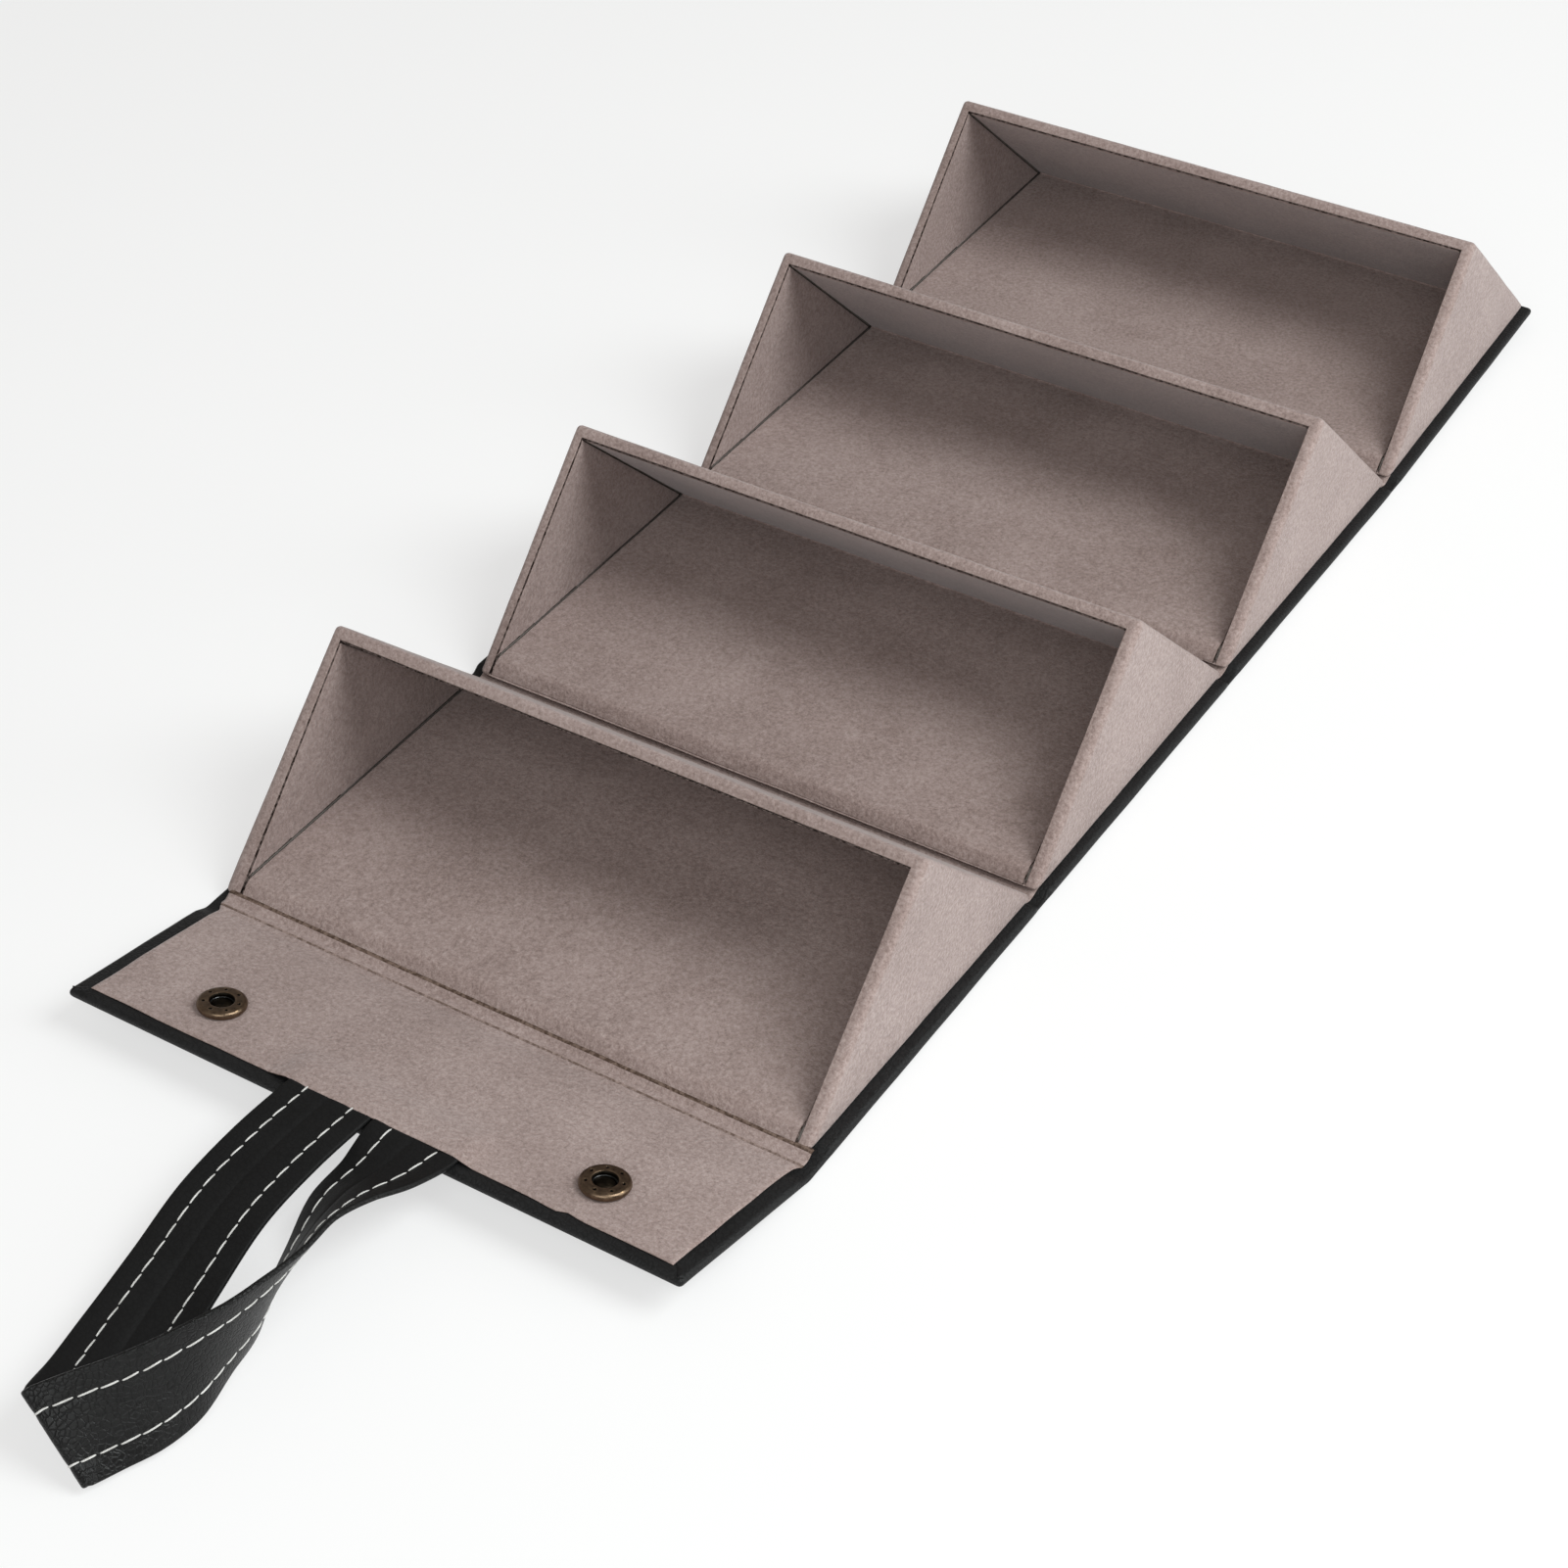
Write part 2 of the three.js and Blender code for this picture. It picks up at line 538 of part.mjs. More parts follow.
function strapLoop() {
  const middle = (LEATHER + LINING_Z) / 2;
  const exit = flapPoint(FLAP_LENGTH + STRAP_FOLD_CUT / 2, middle);
  const path = new THREE.CatmullRomCurve3(
    STRAP_ROUTE.map(([place]) => new THREE.Vector3(...place).add(exit)), false, 'catmullrom', 0.5);
  const edge = new THREE.CatmullRomCurve3(
    STRAP_ROUTE.map(([, direction]) => new THREE.Vector3(...direction)), false, 'catmullrom', 0.5);
  const sections = (STRAP_ROUTE.length - 1) * STRAP_STEPS;
  const vertices = [];
  for (let i = 0; i <= sections; i += 1) {
    const t = i / sections;
    const tangent = path.getTangent(t);
    const across = edge.getPoint(t).addScaledVector(tangent, -edge.getPoint(t).dot(tangent)).normalize();
    const normal = tangent.clone().cross(across).normalize();
    const centre = path.getPoint(t);
    for (const [side, face] of [[1, 1], [-1, 1], [-1, -1], [1, -1]]) {
      const corner = centre.clone().addScaledVector(across, side * STRAP_WIDTH / 2);
      vertices.push(...corner.addScaledVector(normal, face * STRAP_THICKNESS / 2).toArray());
    }
  }
  const faces = [0, 2, 1, 0, 3, 2];
  for (let i = 0; i < sections; i += 1) {
    for (let k = 0; k < 4; k += 1) {
      const a = 4 * i + k;
      const b = 4 * i + (k + 1) % 4;
      faces.push(a, b, a + 4, b, b + 4, a + 4);
    }
  }
  const last = 4 * sections;
  faces.push(last, last + 1, last + 2, last, last + 2, last + 3);
  const geometry = new THREE.BufferGeometry();
  geometry.setAttribute('position', new THREE.BufferAttribute(new Float32Array(vertices), 3));
  geometry.setIndex(faces);
  geometry.computeVertexNormals();
  return solid(geometry);
}

// A group whose contents are drawn in the flat case and turned about a fold line
function foldGroup(y, z, angle) {
  const pivot = new THREE.Group();
  pivot.position.set(0, y, z);
  pivot.rotation.x = angle;
  const contents = new THREE.Group();
  contents.position.z = -z;
  pivot.add(contents);
  return { pivot, contents };
}

const sunglassesCase = new THREE.Group();

for (let number = 1; number <= TRAY_COUNT; number += 1) {
  const last = number === TRAY_COUNT;
  const foldY = (number - 1.5) * PITCH;
  const { pivot, contents } = foldGroup(foldY, FOLD_HEIGHT, last ? STUD_LEAN : 0);
  const panel = new THREE.Group();
  panel.position.y = PITCH / 2;
  contents.add(panel);
  sunglassesCase.add(pivot);
  const pieces = panelPieces(number);
  if (last) {
    addStuds(panel, pieces);
  }
  addPiece(panel, `panel_${number}_cover`, pieces.cover, 'leather');
  addPiece(panel, `panel_${number}_board`, pieces.board, 'board');
  addPiece(panel, `panel_${number}_lining`, pieces.lining, 'suede');
  addTray(panel, number);
}

const flap = foldGroup(FLAP_AXIS_Y, FLAP_FOLD_HEIGHT, -FLAP_REST);
const flapParts = flapPieces();
addSockets(flap.contents, flapParts);
addPiece(flap.contents, 'flap_cover', flapParts.cover, 'leather');
addPiece(flap.contents, 'flap_board', flapParts.board, 'board');
addPiece(flap.contents, 'flap_lining', flapParts.lining, 'suede');
addStrapEnds(flap.contents);
sunglassesCase.add(flap.pivot);

addPiece(sunglassesCase, 'handle_strap', strapLoop(), 'leather');

export default sunglassesCase;
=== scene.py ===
import math
import random

import bmesh
import bpy
import numpy as np
from mathutils import Matrix, Vector, noise


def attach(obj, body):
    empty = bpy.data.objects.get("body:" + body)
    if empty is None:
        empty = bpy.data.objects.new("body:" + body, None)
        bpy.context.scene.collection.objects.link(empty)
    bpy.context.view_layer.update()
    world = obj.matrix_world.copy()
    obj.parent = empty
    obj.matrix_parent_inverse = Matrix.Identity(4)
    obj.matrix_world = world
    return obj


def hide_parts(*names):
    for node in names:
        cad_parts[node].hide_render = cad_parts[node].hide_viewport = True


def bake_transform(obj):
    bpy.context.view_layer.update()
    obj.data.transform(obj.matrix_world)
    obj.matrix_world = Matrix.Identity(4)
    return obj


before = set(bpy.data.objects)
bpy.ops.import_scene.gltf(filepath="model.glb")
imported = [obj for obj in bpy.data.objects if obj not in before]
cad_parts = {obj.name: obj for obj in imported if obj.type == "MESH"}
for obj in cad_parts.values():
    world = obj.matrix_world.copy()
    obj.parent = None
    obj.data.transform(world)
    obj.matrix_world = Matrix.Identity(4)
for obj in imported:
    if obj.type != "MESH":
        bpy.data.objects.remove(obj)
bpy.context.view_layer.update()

# Sizes in millimetres, as in the CAD part. Blender works in metres.
MM = 0.001
TRAY_COUNT = 4
TRAY_HALF = 86.2
TRAY_BASE = 102.8
TRAY_HEIGHT = 51.2
TRAY_Z = 2.7
WALL = 3.8
PITCH = 104.6
FOLD_HEIGHT = 2.1
STUD_LEAN = math.radians(1.875)
COVER_HALF = 89.1
COVER_TOP = 2.6
LINING_HALF = 84.5
FLAP_AXIS_Y = -56.7
FLAP_FOLD_HEIGHT = 1.7
FLAP_LENGTH = 49.2
FLAP_LINING_INSET = 3.2
FLAP_REST = math.radians(11)
FAR_EDGE = (TRAY_COUNT - 1) * PITCH + TRAY_BASE / 2 + 0.2
LAST_FOLD = (TRAY_COUNT - 1.5) * PITCH
SNAP_X = 55.4
SNAP_REACH = 33.3
STUD_Y = 19.29
SOCKET_SEAT = 3.3
STUD_GAP = 0.1

# Suede skins
SKIN = 0.45
LINING_SKIN = 0.32
RIM_SEAM = 3.45
GROOVE = 1.4
LINING_SUNK = 0.25
# Width of the dark strip painted as shade on each side of an inner seam
SEAM_SHADE_HALF = 0.45

# How the soft case lies: the first tray's feet stand to the left, the far end is narrower, the flap is askew
FOOT_INWARD = 1.0
FOOT_OUTWARD = 2.0
FAR_NARROWING = 1.6
FLAP_SKEW = -1.4
FLAP_NARROWING = 1.0

# Half lengths of the bends along the cover, and the rounding of its free edges
FLAP_BEND = 2.4
LEAN_BEND = 3.0
HEM_ROUND = 1.2

# Flat sizes of the cut sheets, in metres
SHELL_CUT = (0.275, 0.18)
SHELL_AREA = 0.0365
FLOOR_CUT = (0.1635, 0.1615)
END_CUT = (0.068, 0.068)
END_AREA = 0.002

# Handle strap
STRAP_WIDTH = 24.0
STRAP_THICKNESS = 1.4
STITCH_INSET = 5.5
STITCH_PITCH = 4.75
STITCH_LENGTH = 4.6
THREAD = 0.24

# Camera, fitted to corners of the object in the photograph
EYE = (364.83, -479.95, 542.72)
FORWARD = (-0.42252, 0.63855, -0.64322)
UP = (-0.33220, 0.55119, 0.76540)
LENS = 74.48
SENSOR = 36.0

# Light: strengths of the lamps in watts, with their places and sizes in metres
LAMPS = [
    ("key", (0.9, 0.25, 1.1), 0.8, 13.2),
    ("side", (1.35, 0.65, 0.55), 0.8, 5.5),
    ("front", (0.5, -1.1, 1.0), 1.2, 9.8),
]
LAMP_TARGET = (0, 0.1, 0.02)
LAMP_TINT = (0.96, 1.0, 1.0)
WORLD_TINT = (1.0, 0.95, 0.90, 1.0)
WORLD_STRENGTH = 0.29
FLOOR_WHITE = 0.6
FLOOR_SIZE = 40.0
FLOOR_LEVEL = -0.0004

SIDES = (("left", -1), ("right", 1))


# Small helpers
def smoothstep(t):
    t = np.clip(t, 0.0, 1.0)
    return t * t * (3 - 2 * t)


def unit(vector):
    return np.asarray(vector, float) / np.linalg.norm(vector)


def unit_rows(rows):
    return rows / np.linalg.norm(rows, axis=1)[:, None]


def square_to(rows, axes):
    """Each row without its part along the axis of the same row."""
    return rows - axes * np.sum(rows * axes, axis=1)[:, None]


def circle(count):
    """Points of the unit circle."""
    turns = [2 * math.pi * k / count for k in range(count)]
    return [(math.cos(a), math.sin(a)) for a in turns]


def turned(axis, angle, offset):
    """A turn about a line along X through axis, after a shift by offset."""
    return Matrix.Translation(axis) @ Matrix.Rotation(angle, 4, "X") @ Matrix.Translation(offset)


def hermite(xs, ys, x):
    """A smooth curve through the points (xs, ys), read at x. xs rise."""
    xs = np.asarray(xs, float)
    ys = np.asarray(ys, float)
    slope = np.gradient(ys, xs)
    x = np.clip(x, xs[0], xs[-1])
    i = np.clip(np.searchsorted(xs, x) - 1, 0, len(xs) - 2)
    h = xs[i + 1] - xs[i]
    t = (x - xs[i]) / h
    a = (1 + 2 * t) * (1 - t) ** 2 * ys[i]
    b = t * (1 - t) ** 2 * h * slope[i]
    c = t * t * (3 - 2 * t) * ys[i + 1]
    d = t * t * (t - 1) * h * slope[i + 1]
    return a + b + c + d


def wander(place, size, seed=0.0):
    """Smooth noise about -1 to 1 that changes over a length of size."""
    p = Vector(place) / size
    return noise.noise(p + Vector((seed * 17.3, seed * 5.1, seed * 9.7)))


def add_object(name, data):
    obj = bpy.data.objects.new(name, data)
    bpy.context.scene.collection.objects.link(obj)
    return obj


def make_piece(name, points, faces, material, smooth=True):
    """A mesh object from points in millimetres."""
    mesh = bpy.data.meshes.new(name)
    mesh.from_pydata([tuple(float(c) * MM for c in p) for p in points], [], faces)
    mesh.validate()
    bm = bmesh.new()
    bm.from_mesh(mesh)
    bmesh.ops.recalc_face_normals(bm, faces=bm.faces)
    bm.to_mesh(mesh)
    bm.free()
    if smooth:
        mesh.shade_smooth()
    mesh.materials.append(material)
    return add_object(name, mesh)


def apply_modifiers(obj):
    bpy.context.view_layer.update()
    evaluated = obj.evaluated_get(bpy.context.evaluated_depsgraph_get())
    mesh = bpy.data.meshes.new_from_object(evaluated)
    obj.modifiers.clear()
    obj.data = mesh
    return obj


def add_thickness(obj, thickness, edge_material=None):
    """Gives an open surface its thickness on the inner side. Its cut edges may have their own material."""
    solidify = obj.modifiers.new("thickness", "SOLIDIFY")
    solidify.thickness = thickness * MM
    solidify.offset = -1.0
    solidify.use_even_offset = False
    if edge_material is not None:
        obj.data.materials.append(edge_material)
        solidify.material_offset_rim = len(obj.data.materials) - 1
    return apply_modifiers(obj)


def loft(rings, capped=True):
    """Faces over a list of closed rings that all have the same number of points."""
    count = len(rings[0])
    points = [p for ring in rings for p in ring]
    faces = []
    for i in range(len(rings) - 1):
        for k in range(count):
            a = i * count + k
            b = i * count + (k + 1) % count
            faces.append((a, b, b + count, a + count))
    if capped:
        faces.append(tuple(range(count - 1, -1, -1)))
        faces.append(tuple(range((len(rings) - 1) * count, len(rings) * count)))
    return points, faces


def grid_faces(rows, columns):
    faces = []
    for i in range(rows - 1):
        for k in range(columns - 1):
            a = i * columns + k
            faces.append((a, a + 1, a + columns + 1, a + columns))
    return faces


def spaced_with_ends(low, high, step, ends):
    """Values from low to high about a step apart, with extra ones close to both ends."""
    middle = np.linspace(low, high, max(2, int(round((high - low) / step)) + 1))
    inner = middle[(middle > low + ends[-1] * 1.3) & (middle < high - ends[-1] * 1.3)]
    return np.concatenate([low + np.array(ends), inner, (high - np.array(ends))[::-1]])


def round_corners(points, radii, steps=6):
    """A polyline in (y, z) with each inner corner replaced by an arc."""
    line = [np.array(points[0], float)]
    for i in range(1, len(points) - 1):
        before, corner, after = (np.array(points[k], float) for k in (i - 1, i, i + 1))
        u, v = unit(before - corner), unit(after - corner)
        half = math.acos(np.clip(u @ v, -1, 1)) / 2
        reach = radii[i - 1] / math.tan(half)
        centre = corner + unit(u + v) * radii[i - 1] / math.sin(half)
        start = corner + u * reach - centre
        end = corner + v * reach - centre
        turn = math.atan2(start[0] * end[1] - start[1] * end[0], start @ end)
        for k in range(steps + 1):
            c, s = math.cos(turn * k / steps), math.sin(turn * k / steps)
            line.append(centre + np.array((c * start[0] - s * start[1], s * start[0] + c * start[1])))
    line.append(np.array(points[-1], float))
    return line


def fill_line(line, step):
    """The same polyline with long stretches divided."""
    out = [line[0]]
    for a, b in zip(line[:-1], line[1:]):
        n = max(1, int(math.ceil(np.linalg.norm(b - a) / step)))
        out += [a + (b - a) * k / n for k in range(1, n + 1)]
    return np.array(out)


# Materials
def new_material(name):
    material = bpy.data.materials.new(name)
    material.use_nodes = True
    nodes = material.node_tree.nodes
    return material, nodes["Principled BSDF"], nodes.new("ShaderNodeTexCoord").outputs["Object"]


def fill(node, links, **values):
    """Links sockets into a node's inputs, and sets its other inputs. An underscore stands for a space."""
    for name, socket in links.items():
        node.id_data.links.new(socket, node.inputs[name])
    for name, value in values.items():
        node.inputs[name.replace("_", " ")].default_value = value


def add_node(source, kind, entry, **values):
    """A new node that takes the socket source at its input entry."""
    node = source.id_data.nodes.new("ShaderNode" + kind)
    fill(node, {entry: source}, **values)
    return node


def noise_node(coords, scale, detail=4.0, roughness=0.55, distortion=0.0):
    node = add_node(coords, "TexNoise", "Vector", Scale=scale, Detail=detail, Roughness=roughness,
                    Distortion=distortion)
    return node.outputs["Fac"]


def math_node(operation, first, second):
    node = add_node(first, "Math", 0)
    node.operation = operation
    if isinstance(second, float):
        node.inputs[1].default_value = second
    else:
        fill(node, {1: second})
    return node.outputs[0]


def ramp_node(factor, stops):
    node = add_node(factor, "ValToRGB", "Fac")
    elements = node.color_ramp.elements
    while len(elements) < len(stops):
        elements.new(0.5)
    for element, (position, colour) in zip(elements, stops):
        element.position = position
        element.color = (*colour, 1.0)
    return node.outputs["Color"]


def range_node(value, from_low, from_high, to_low, to_high):
    node = add_node(value, "MapRange", "Value", From_Min=from_low, From_Max=from_high, To_Min=to_low,
                    To_Max=to_high)
    return node.outputs["Result"]


def bump_node(height, strength, distance, normal=None):
    node = add_node(height, "Bump", "Height", Strength=strength, Distance=distance)
    if normal is not None:
        fill(node, {"Normal": normal})
    return node.outputs["Normal"]


def suede_material():
    """Brushed suede: short nap, cloudy shading where the nap lies differently, small pebbling."""
    material, shader, coords = new_material("taupe_suede")
    clouds = noise_node(coords, 34, 3, 0.5, 0.4)
    patches = noise_node(coords, 190, 2, 0.5)
    pebble = noise_node(coords, 1000, 2, 0.5)
    fibre = noise_node(coords, 2400, 2, 0.6)
    mix = math_node("MULTIPLY", clouds, 0.2)
    for part, share in ((patches, 0.06), (pebble, 0.38), (fibre, 0.36)):
        mix = math_node("ADD", mix, math_node("MULTIPLY", part, share))
    colour = ramp_node(mix, [
        (0.37, (0.219, 0.159, 0.143)),
        (0.50, (0.317, 0.241, 0.222)),
        (0.63, (0.417, 0.330, 0.309)),
    ])
    normal = bump_node(fibre, 0.4, 0.00014, bump_node(pebble, 0.7, 0.00036))
    fill(shader, {"Base Color": colour, "Normal": normal}, Roughness=0.95, Specular_IOR_Level=0.12,
         Sheen_Weight=0.32, Sheen_Roughness=0.5, Sheen_Tint=(0.92, 0.92, 0.95, 1.0))
    return material


def edge_and_shade_material(name, dark, light):
    """Dark, specked suede: the browned, matted cut edge of a sheet, and painted shade in the seams, along a
    fold and under a tray's front edge.
    """
    material, shader, coords = new_material(name)
    speck = noise_node(coords, 900, 3, 0.6)
    colour = ramp_node(speck, [(0.42, dark), (0.60, light)])
    fill(shader, {"Base Color": colour, "Normal": bump_node(speck, 0.5, 0.0002)},
         Roughness=0.95, Specular_IOR_Level=0.1)
    return material


def leather_material(name, grain, low, high, gloss):
    """Black leatherette: raised pebbles between fine creases."""
    material, shader, coords = new_material(name)
    warp = noise_node(coords, 420, 2, 0.5)
    bent = add_node(warp, "VectorMath", 0)
    bent.operation = "MULTIPLY_ADD"
    bent.inputs[1].default_value = (0.0009, 0.0007, 0.0008)
    fill(bent, {2: coords})
    cells = add_node(bent.outputs[0], "TexVoronoi", "Vector", Scale=760, Randomness=1.0)
    cells.feature = "DISTANCE_TO_EDGE"
    crease = range_node(cells.outputs["Distance"], 0.0, 0.16, 0.0, 1.0)
    fine = noise_node(coords, 2200, 3, 0.6)
    broad = noise_node(coords, 60, 3, 0.5)
    height = math_node("ADD", crease, math_node("MULTIPLY", fine, 0.5))
    tone = math_node("ADD", math_node("MULTIPLY", crease, 0.35), math_node("MULTIPLY", broad, 0.6))
    colour = ramp_node(tone, [(0.25, low), (0.75, high)])
    rough = range_node(broad, 0.3, 0.7, gloss - 0.06, gloss + 0.08)
    normal = bump_node(height, grain, 0.00016)
    fill(shader, {"Base Color": colour, "Roughness": rough, "Normal": normal}, Specular_IOR_Level=0.22)
    return material


def metal_material(name, dark, middle, bright, roughness):
    """Metal with stains: dark in the hollows, lighter on convex edges."""
    material, shader, coords = new_material(name)
    geometry = material.node_tree.nodes.new("ShaderNodeNewGeometry")
    stain = noise_node(coords, 700, 4, 0.6, 0.4)
    scratch = noise_node(coords, 4200, 2, 0.5)
    edge = range_node(geometry.outputs["Pointiness"], 0.44, 0.58, 0.0, 1.0)
    factor = math_node("ADD", math_node("MULTIPLY", edge, 0.6), math_node("MULTIPLY", stain, 0.4))
    colour = ramp_node(factor, [(0.3, dark), (0.55, middle), (0.85, bright)])
    rough = range_node(stain, 0.3, 0.7, roughness - 0.08, roughness + 0.12)
    normal = bump_node(scratch, 0.12, 0.00005)
    fill(shader, {"Base Color": colour, "Roughness": rough, "Normal": normal}, Metallic=1.0)
    return material


def thread_material():
    """Twisted sewing thread, slightly soiled."""
    material, shader, coords = new_material("white_thread")
    twist = add_node(coords, "TexWave", "Vector", Scale=900, Distortion=2.0)
    soil = noise_node(coords, 300, 3, 0.6)
    colour = ramp_node(soil, [(0.3, (0.46, 0.45, 0.43)), (0.65, (0.72, 0.71, 0.69))])
    normal = bump_node(twist.outputs["Fac"], 0.3, 0.00008)
    fill(shader, {"Base Color": colour, "Normal": normal}, Roughness=0.7, Sheen_Weight=0.2)
    return material


def board_material():
    """Grey board with pressed fibres."""
    material, shader, coords = new_material("grey_board")
    fibre = noise_node(coords, 1500, 4, 0.65, 1.2)
    colour = ramp_node(fibre, [(0.3, (0.20, 0.18, 0.16)), (0.7, (0.33, 0.30, 0.27))])
    fill(shader, {"Base Color": colour, "Normal": bump_node(fibre, 0.3, 0.0001)}, Roughness=0.9)
    return material


SUEDE = suede_material()
# Painted shade: this dark suede fills the seams and grooves where shade falls, besides the sheets' real cut
# edges.
SUEDE_EDGE_AND_SEAM_SHADE = edge_and_shade_material("suede_cut_edge_and_seam_shade", (0.022, 0.015, 0.012), (0.150, 0.115, 0.105))
# A darker line painted as shade in the flap lining's crease.
SUEDE_CREASE_SHADE = edge_and_shade_material("suede_crease_shade", (0.150, 0.106, 0.088), (0.310, 0.236, 0.212))
# A dark strip painted as shade where the flap lining runs under the tray's front edge; also the flap lining's
# cut edges.
SUEDE_HINGE_SHADE_AND_EDGE = edge_and_shade_material("suede_hinge_shade_and_cut_edge", (0.070, 0.045, 0.034), (0.180, 0.127, 0.103))
LEATHER = leather_material("black_leatherette", 0.45, (0.006, 0.006, 0.0063), (0.013, 0.013, 0.0135), 0.52)
STRAP_FACE = leather_material("strap_grain", 0.7, (0.004, 0.004, 0.0041), (0.010, 0.010, 0.010), 0.38)
STRAP_BACK = leather_material("strap_smooth", 0.16, (0.0035, 0.0035, 0.0037), (0.007, 0.007, 0.0072), 0.6)
BRASS = metal_material("antique_brass", (0.05, 0.034, 0.023), (0.2, 0.14, 0.094), (0.52, 0.36, 0.21), 0.34)
# Near-black brass: painted shade inside the socket's hole, in its dents and on the cap's post seen through it.
BRASS_HOLLOW_SHADE = metal_material("brass_hollow_shade", (0.006, 0.005, 0.004), (0.014, 0.011, 0.008),
                            (0.04, 0.03, 0.02), 0.5)
# Steel painted darker than bare steel: shade on the spring inside the socket's hole.
SHADED_STEEL = metal_material("spring_steel", (0.015, 0.015, 0.015), (0.05, 0.05, 0.05), (0.3, 0.3, 0.29), 0.3)
THREAD_WHITE = thread_material()
BOARD = board_material()


# Trays
FRONT = np.array((-TRAY_BASE / 2, TRAY_Z))
BACK = np.array((TRAY_BASE / 2, TRAY_Z))
RIDGE = np.array((0.0, TRAY_Z + TRAY_HEIGHT))
SLANT = float(np.linalg.norm(RIDGE - FRONT))
MOUTH_UP = (RIDGE - FRONT) / SLANT
MOUTH_OUT = np.array((-MOUTH_UP[1], MOUTH_UP[0]))
BACK_UP = (RIDGE - BACK) / SLANT
BACK_OUT = np.array((BACK_UP[1], -BACK_UP[0]))
FLOOR_TOP = TRAY_Z + WALL


def on_mouth(along, out=0.0):
    """A point of the mouth's plane: along its slope from the front edge, and out of it."""
    return FRONT + MOUTH_UP * along + MOUTH_OUT * out


def on_back(along, out=0.0):
    return BACK + BACK_UP * along + BACK_OUT * out


def meet(p, u, q, v):
    """Where the line from p along u crosses the line from q along v."""
    t = np.linalg.solve(np.array((u, -v)).T, q - p)
    return p + u * t[0]


FLOOR_LINE = (np.array((0.0, FLOOR_TOP)), np.array((1.0, 0.0)))
INNER_FRONT = meet(*FLOOR_LINE, on_mouth(0), MOUTH_UP)
INNER_CORNER = meet(*FLOOR_LINE, on_back(0, -WALL), BACK_UP)
INNER_TOP = meet(on_mouth(0), MOUTH_UP, on_back(0, -WALL), BACK_UP)


def place_tray(obj, number):
    """Moves a tray piece from the drawing position of the first tray to its own."""
    shift = Matrix.Translation((0, (number - 1) * PITCH * MM, 0))
    if number == TRAY_COUNT:
        axis = Vector((0, -PITCH / 2 * MM, FOLD_HEIGHT * MM))
        shift = shift @ turned(axis, STUD_LEAN, -axis)
    obj.data.transform(shift)
    obj.data.update()


def narrow_far(points):
    p = np.array(points, float)
    share = np.clip((p[:, 1] - FAR_EDGE + 100) / 97, 0, 1)
    p[:, 0] *= 1 - share * FAR_NARROWING / COVER_HALF
    return p


def shift_feet(points):
    p = np.array(points, float)
    foot = np.clip((BACK - p[:, 1:]) @ BACK_OUT / SLANT, 0, 1)
    outside = np.clip((-p[:, 0] - TRAY_HALF + RIM_SEAM) / RIM_SEAM, 0, 1)
    right = np.clip((p[:, 0] + TRAY_HALF) / (2 * TRAY_HALF), 0, 1)
    p[:, 0] -= foot * (FOOT_INWARD * right + FOOT_OUTWARD * outside)
    return p


SETTLED = {1: shift_feet, TRAY_COUNT: narrow_far}


def settle(obj, shape):
    """Moves a mesh's points by a function of points in millimetres."""
    for v, p in zip(obj.data.vertices, shape([v.co / MM for v in obj.data.vertices])):
        v.co = Vector(p) * MM
    obj.data.update()


def shaped_board(name, body, shape):
    """A board of the CAD part that follows the skins around it."""
    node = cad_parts[name]
    points = [node.matrix_world @ v.co / MM for v in node.data.vertices]
    faces = [tuple(polygon.vertices) for polygon in node.data.polygons]
    board = make_piece(f"{name}_inside", shape(points), faces, BOARD, smooth=False)
    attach(board, body)
    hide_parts(name)


def soften(obj, amount, size, seed):
    """Small swells in a skin, along its own normals."""
    bm = bmesh.new()
    bm.from_mesh(obj.data)
    bm.normal_update()
    moves = []
    for v in bm.verts:
        p = v.co / MM
        swell = wander(p, size, seed) + 0.5 * wander(p, size * 0.4, seed + 3)
        moves.append(v.normal * (swell * amount * MM))
    for v, move in zip(bm.verts, moves):
        v.co += move
    bm.to_mesh(obj.data)
    bm.free()


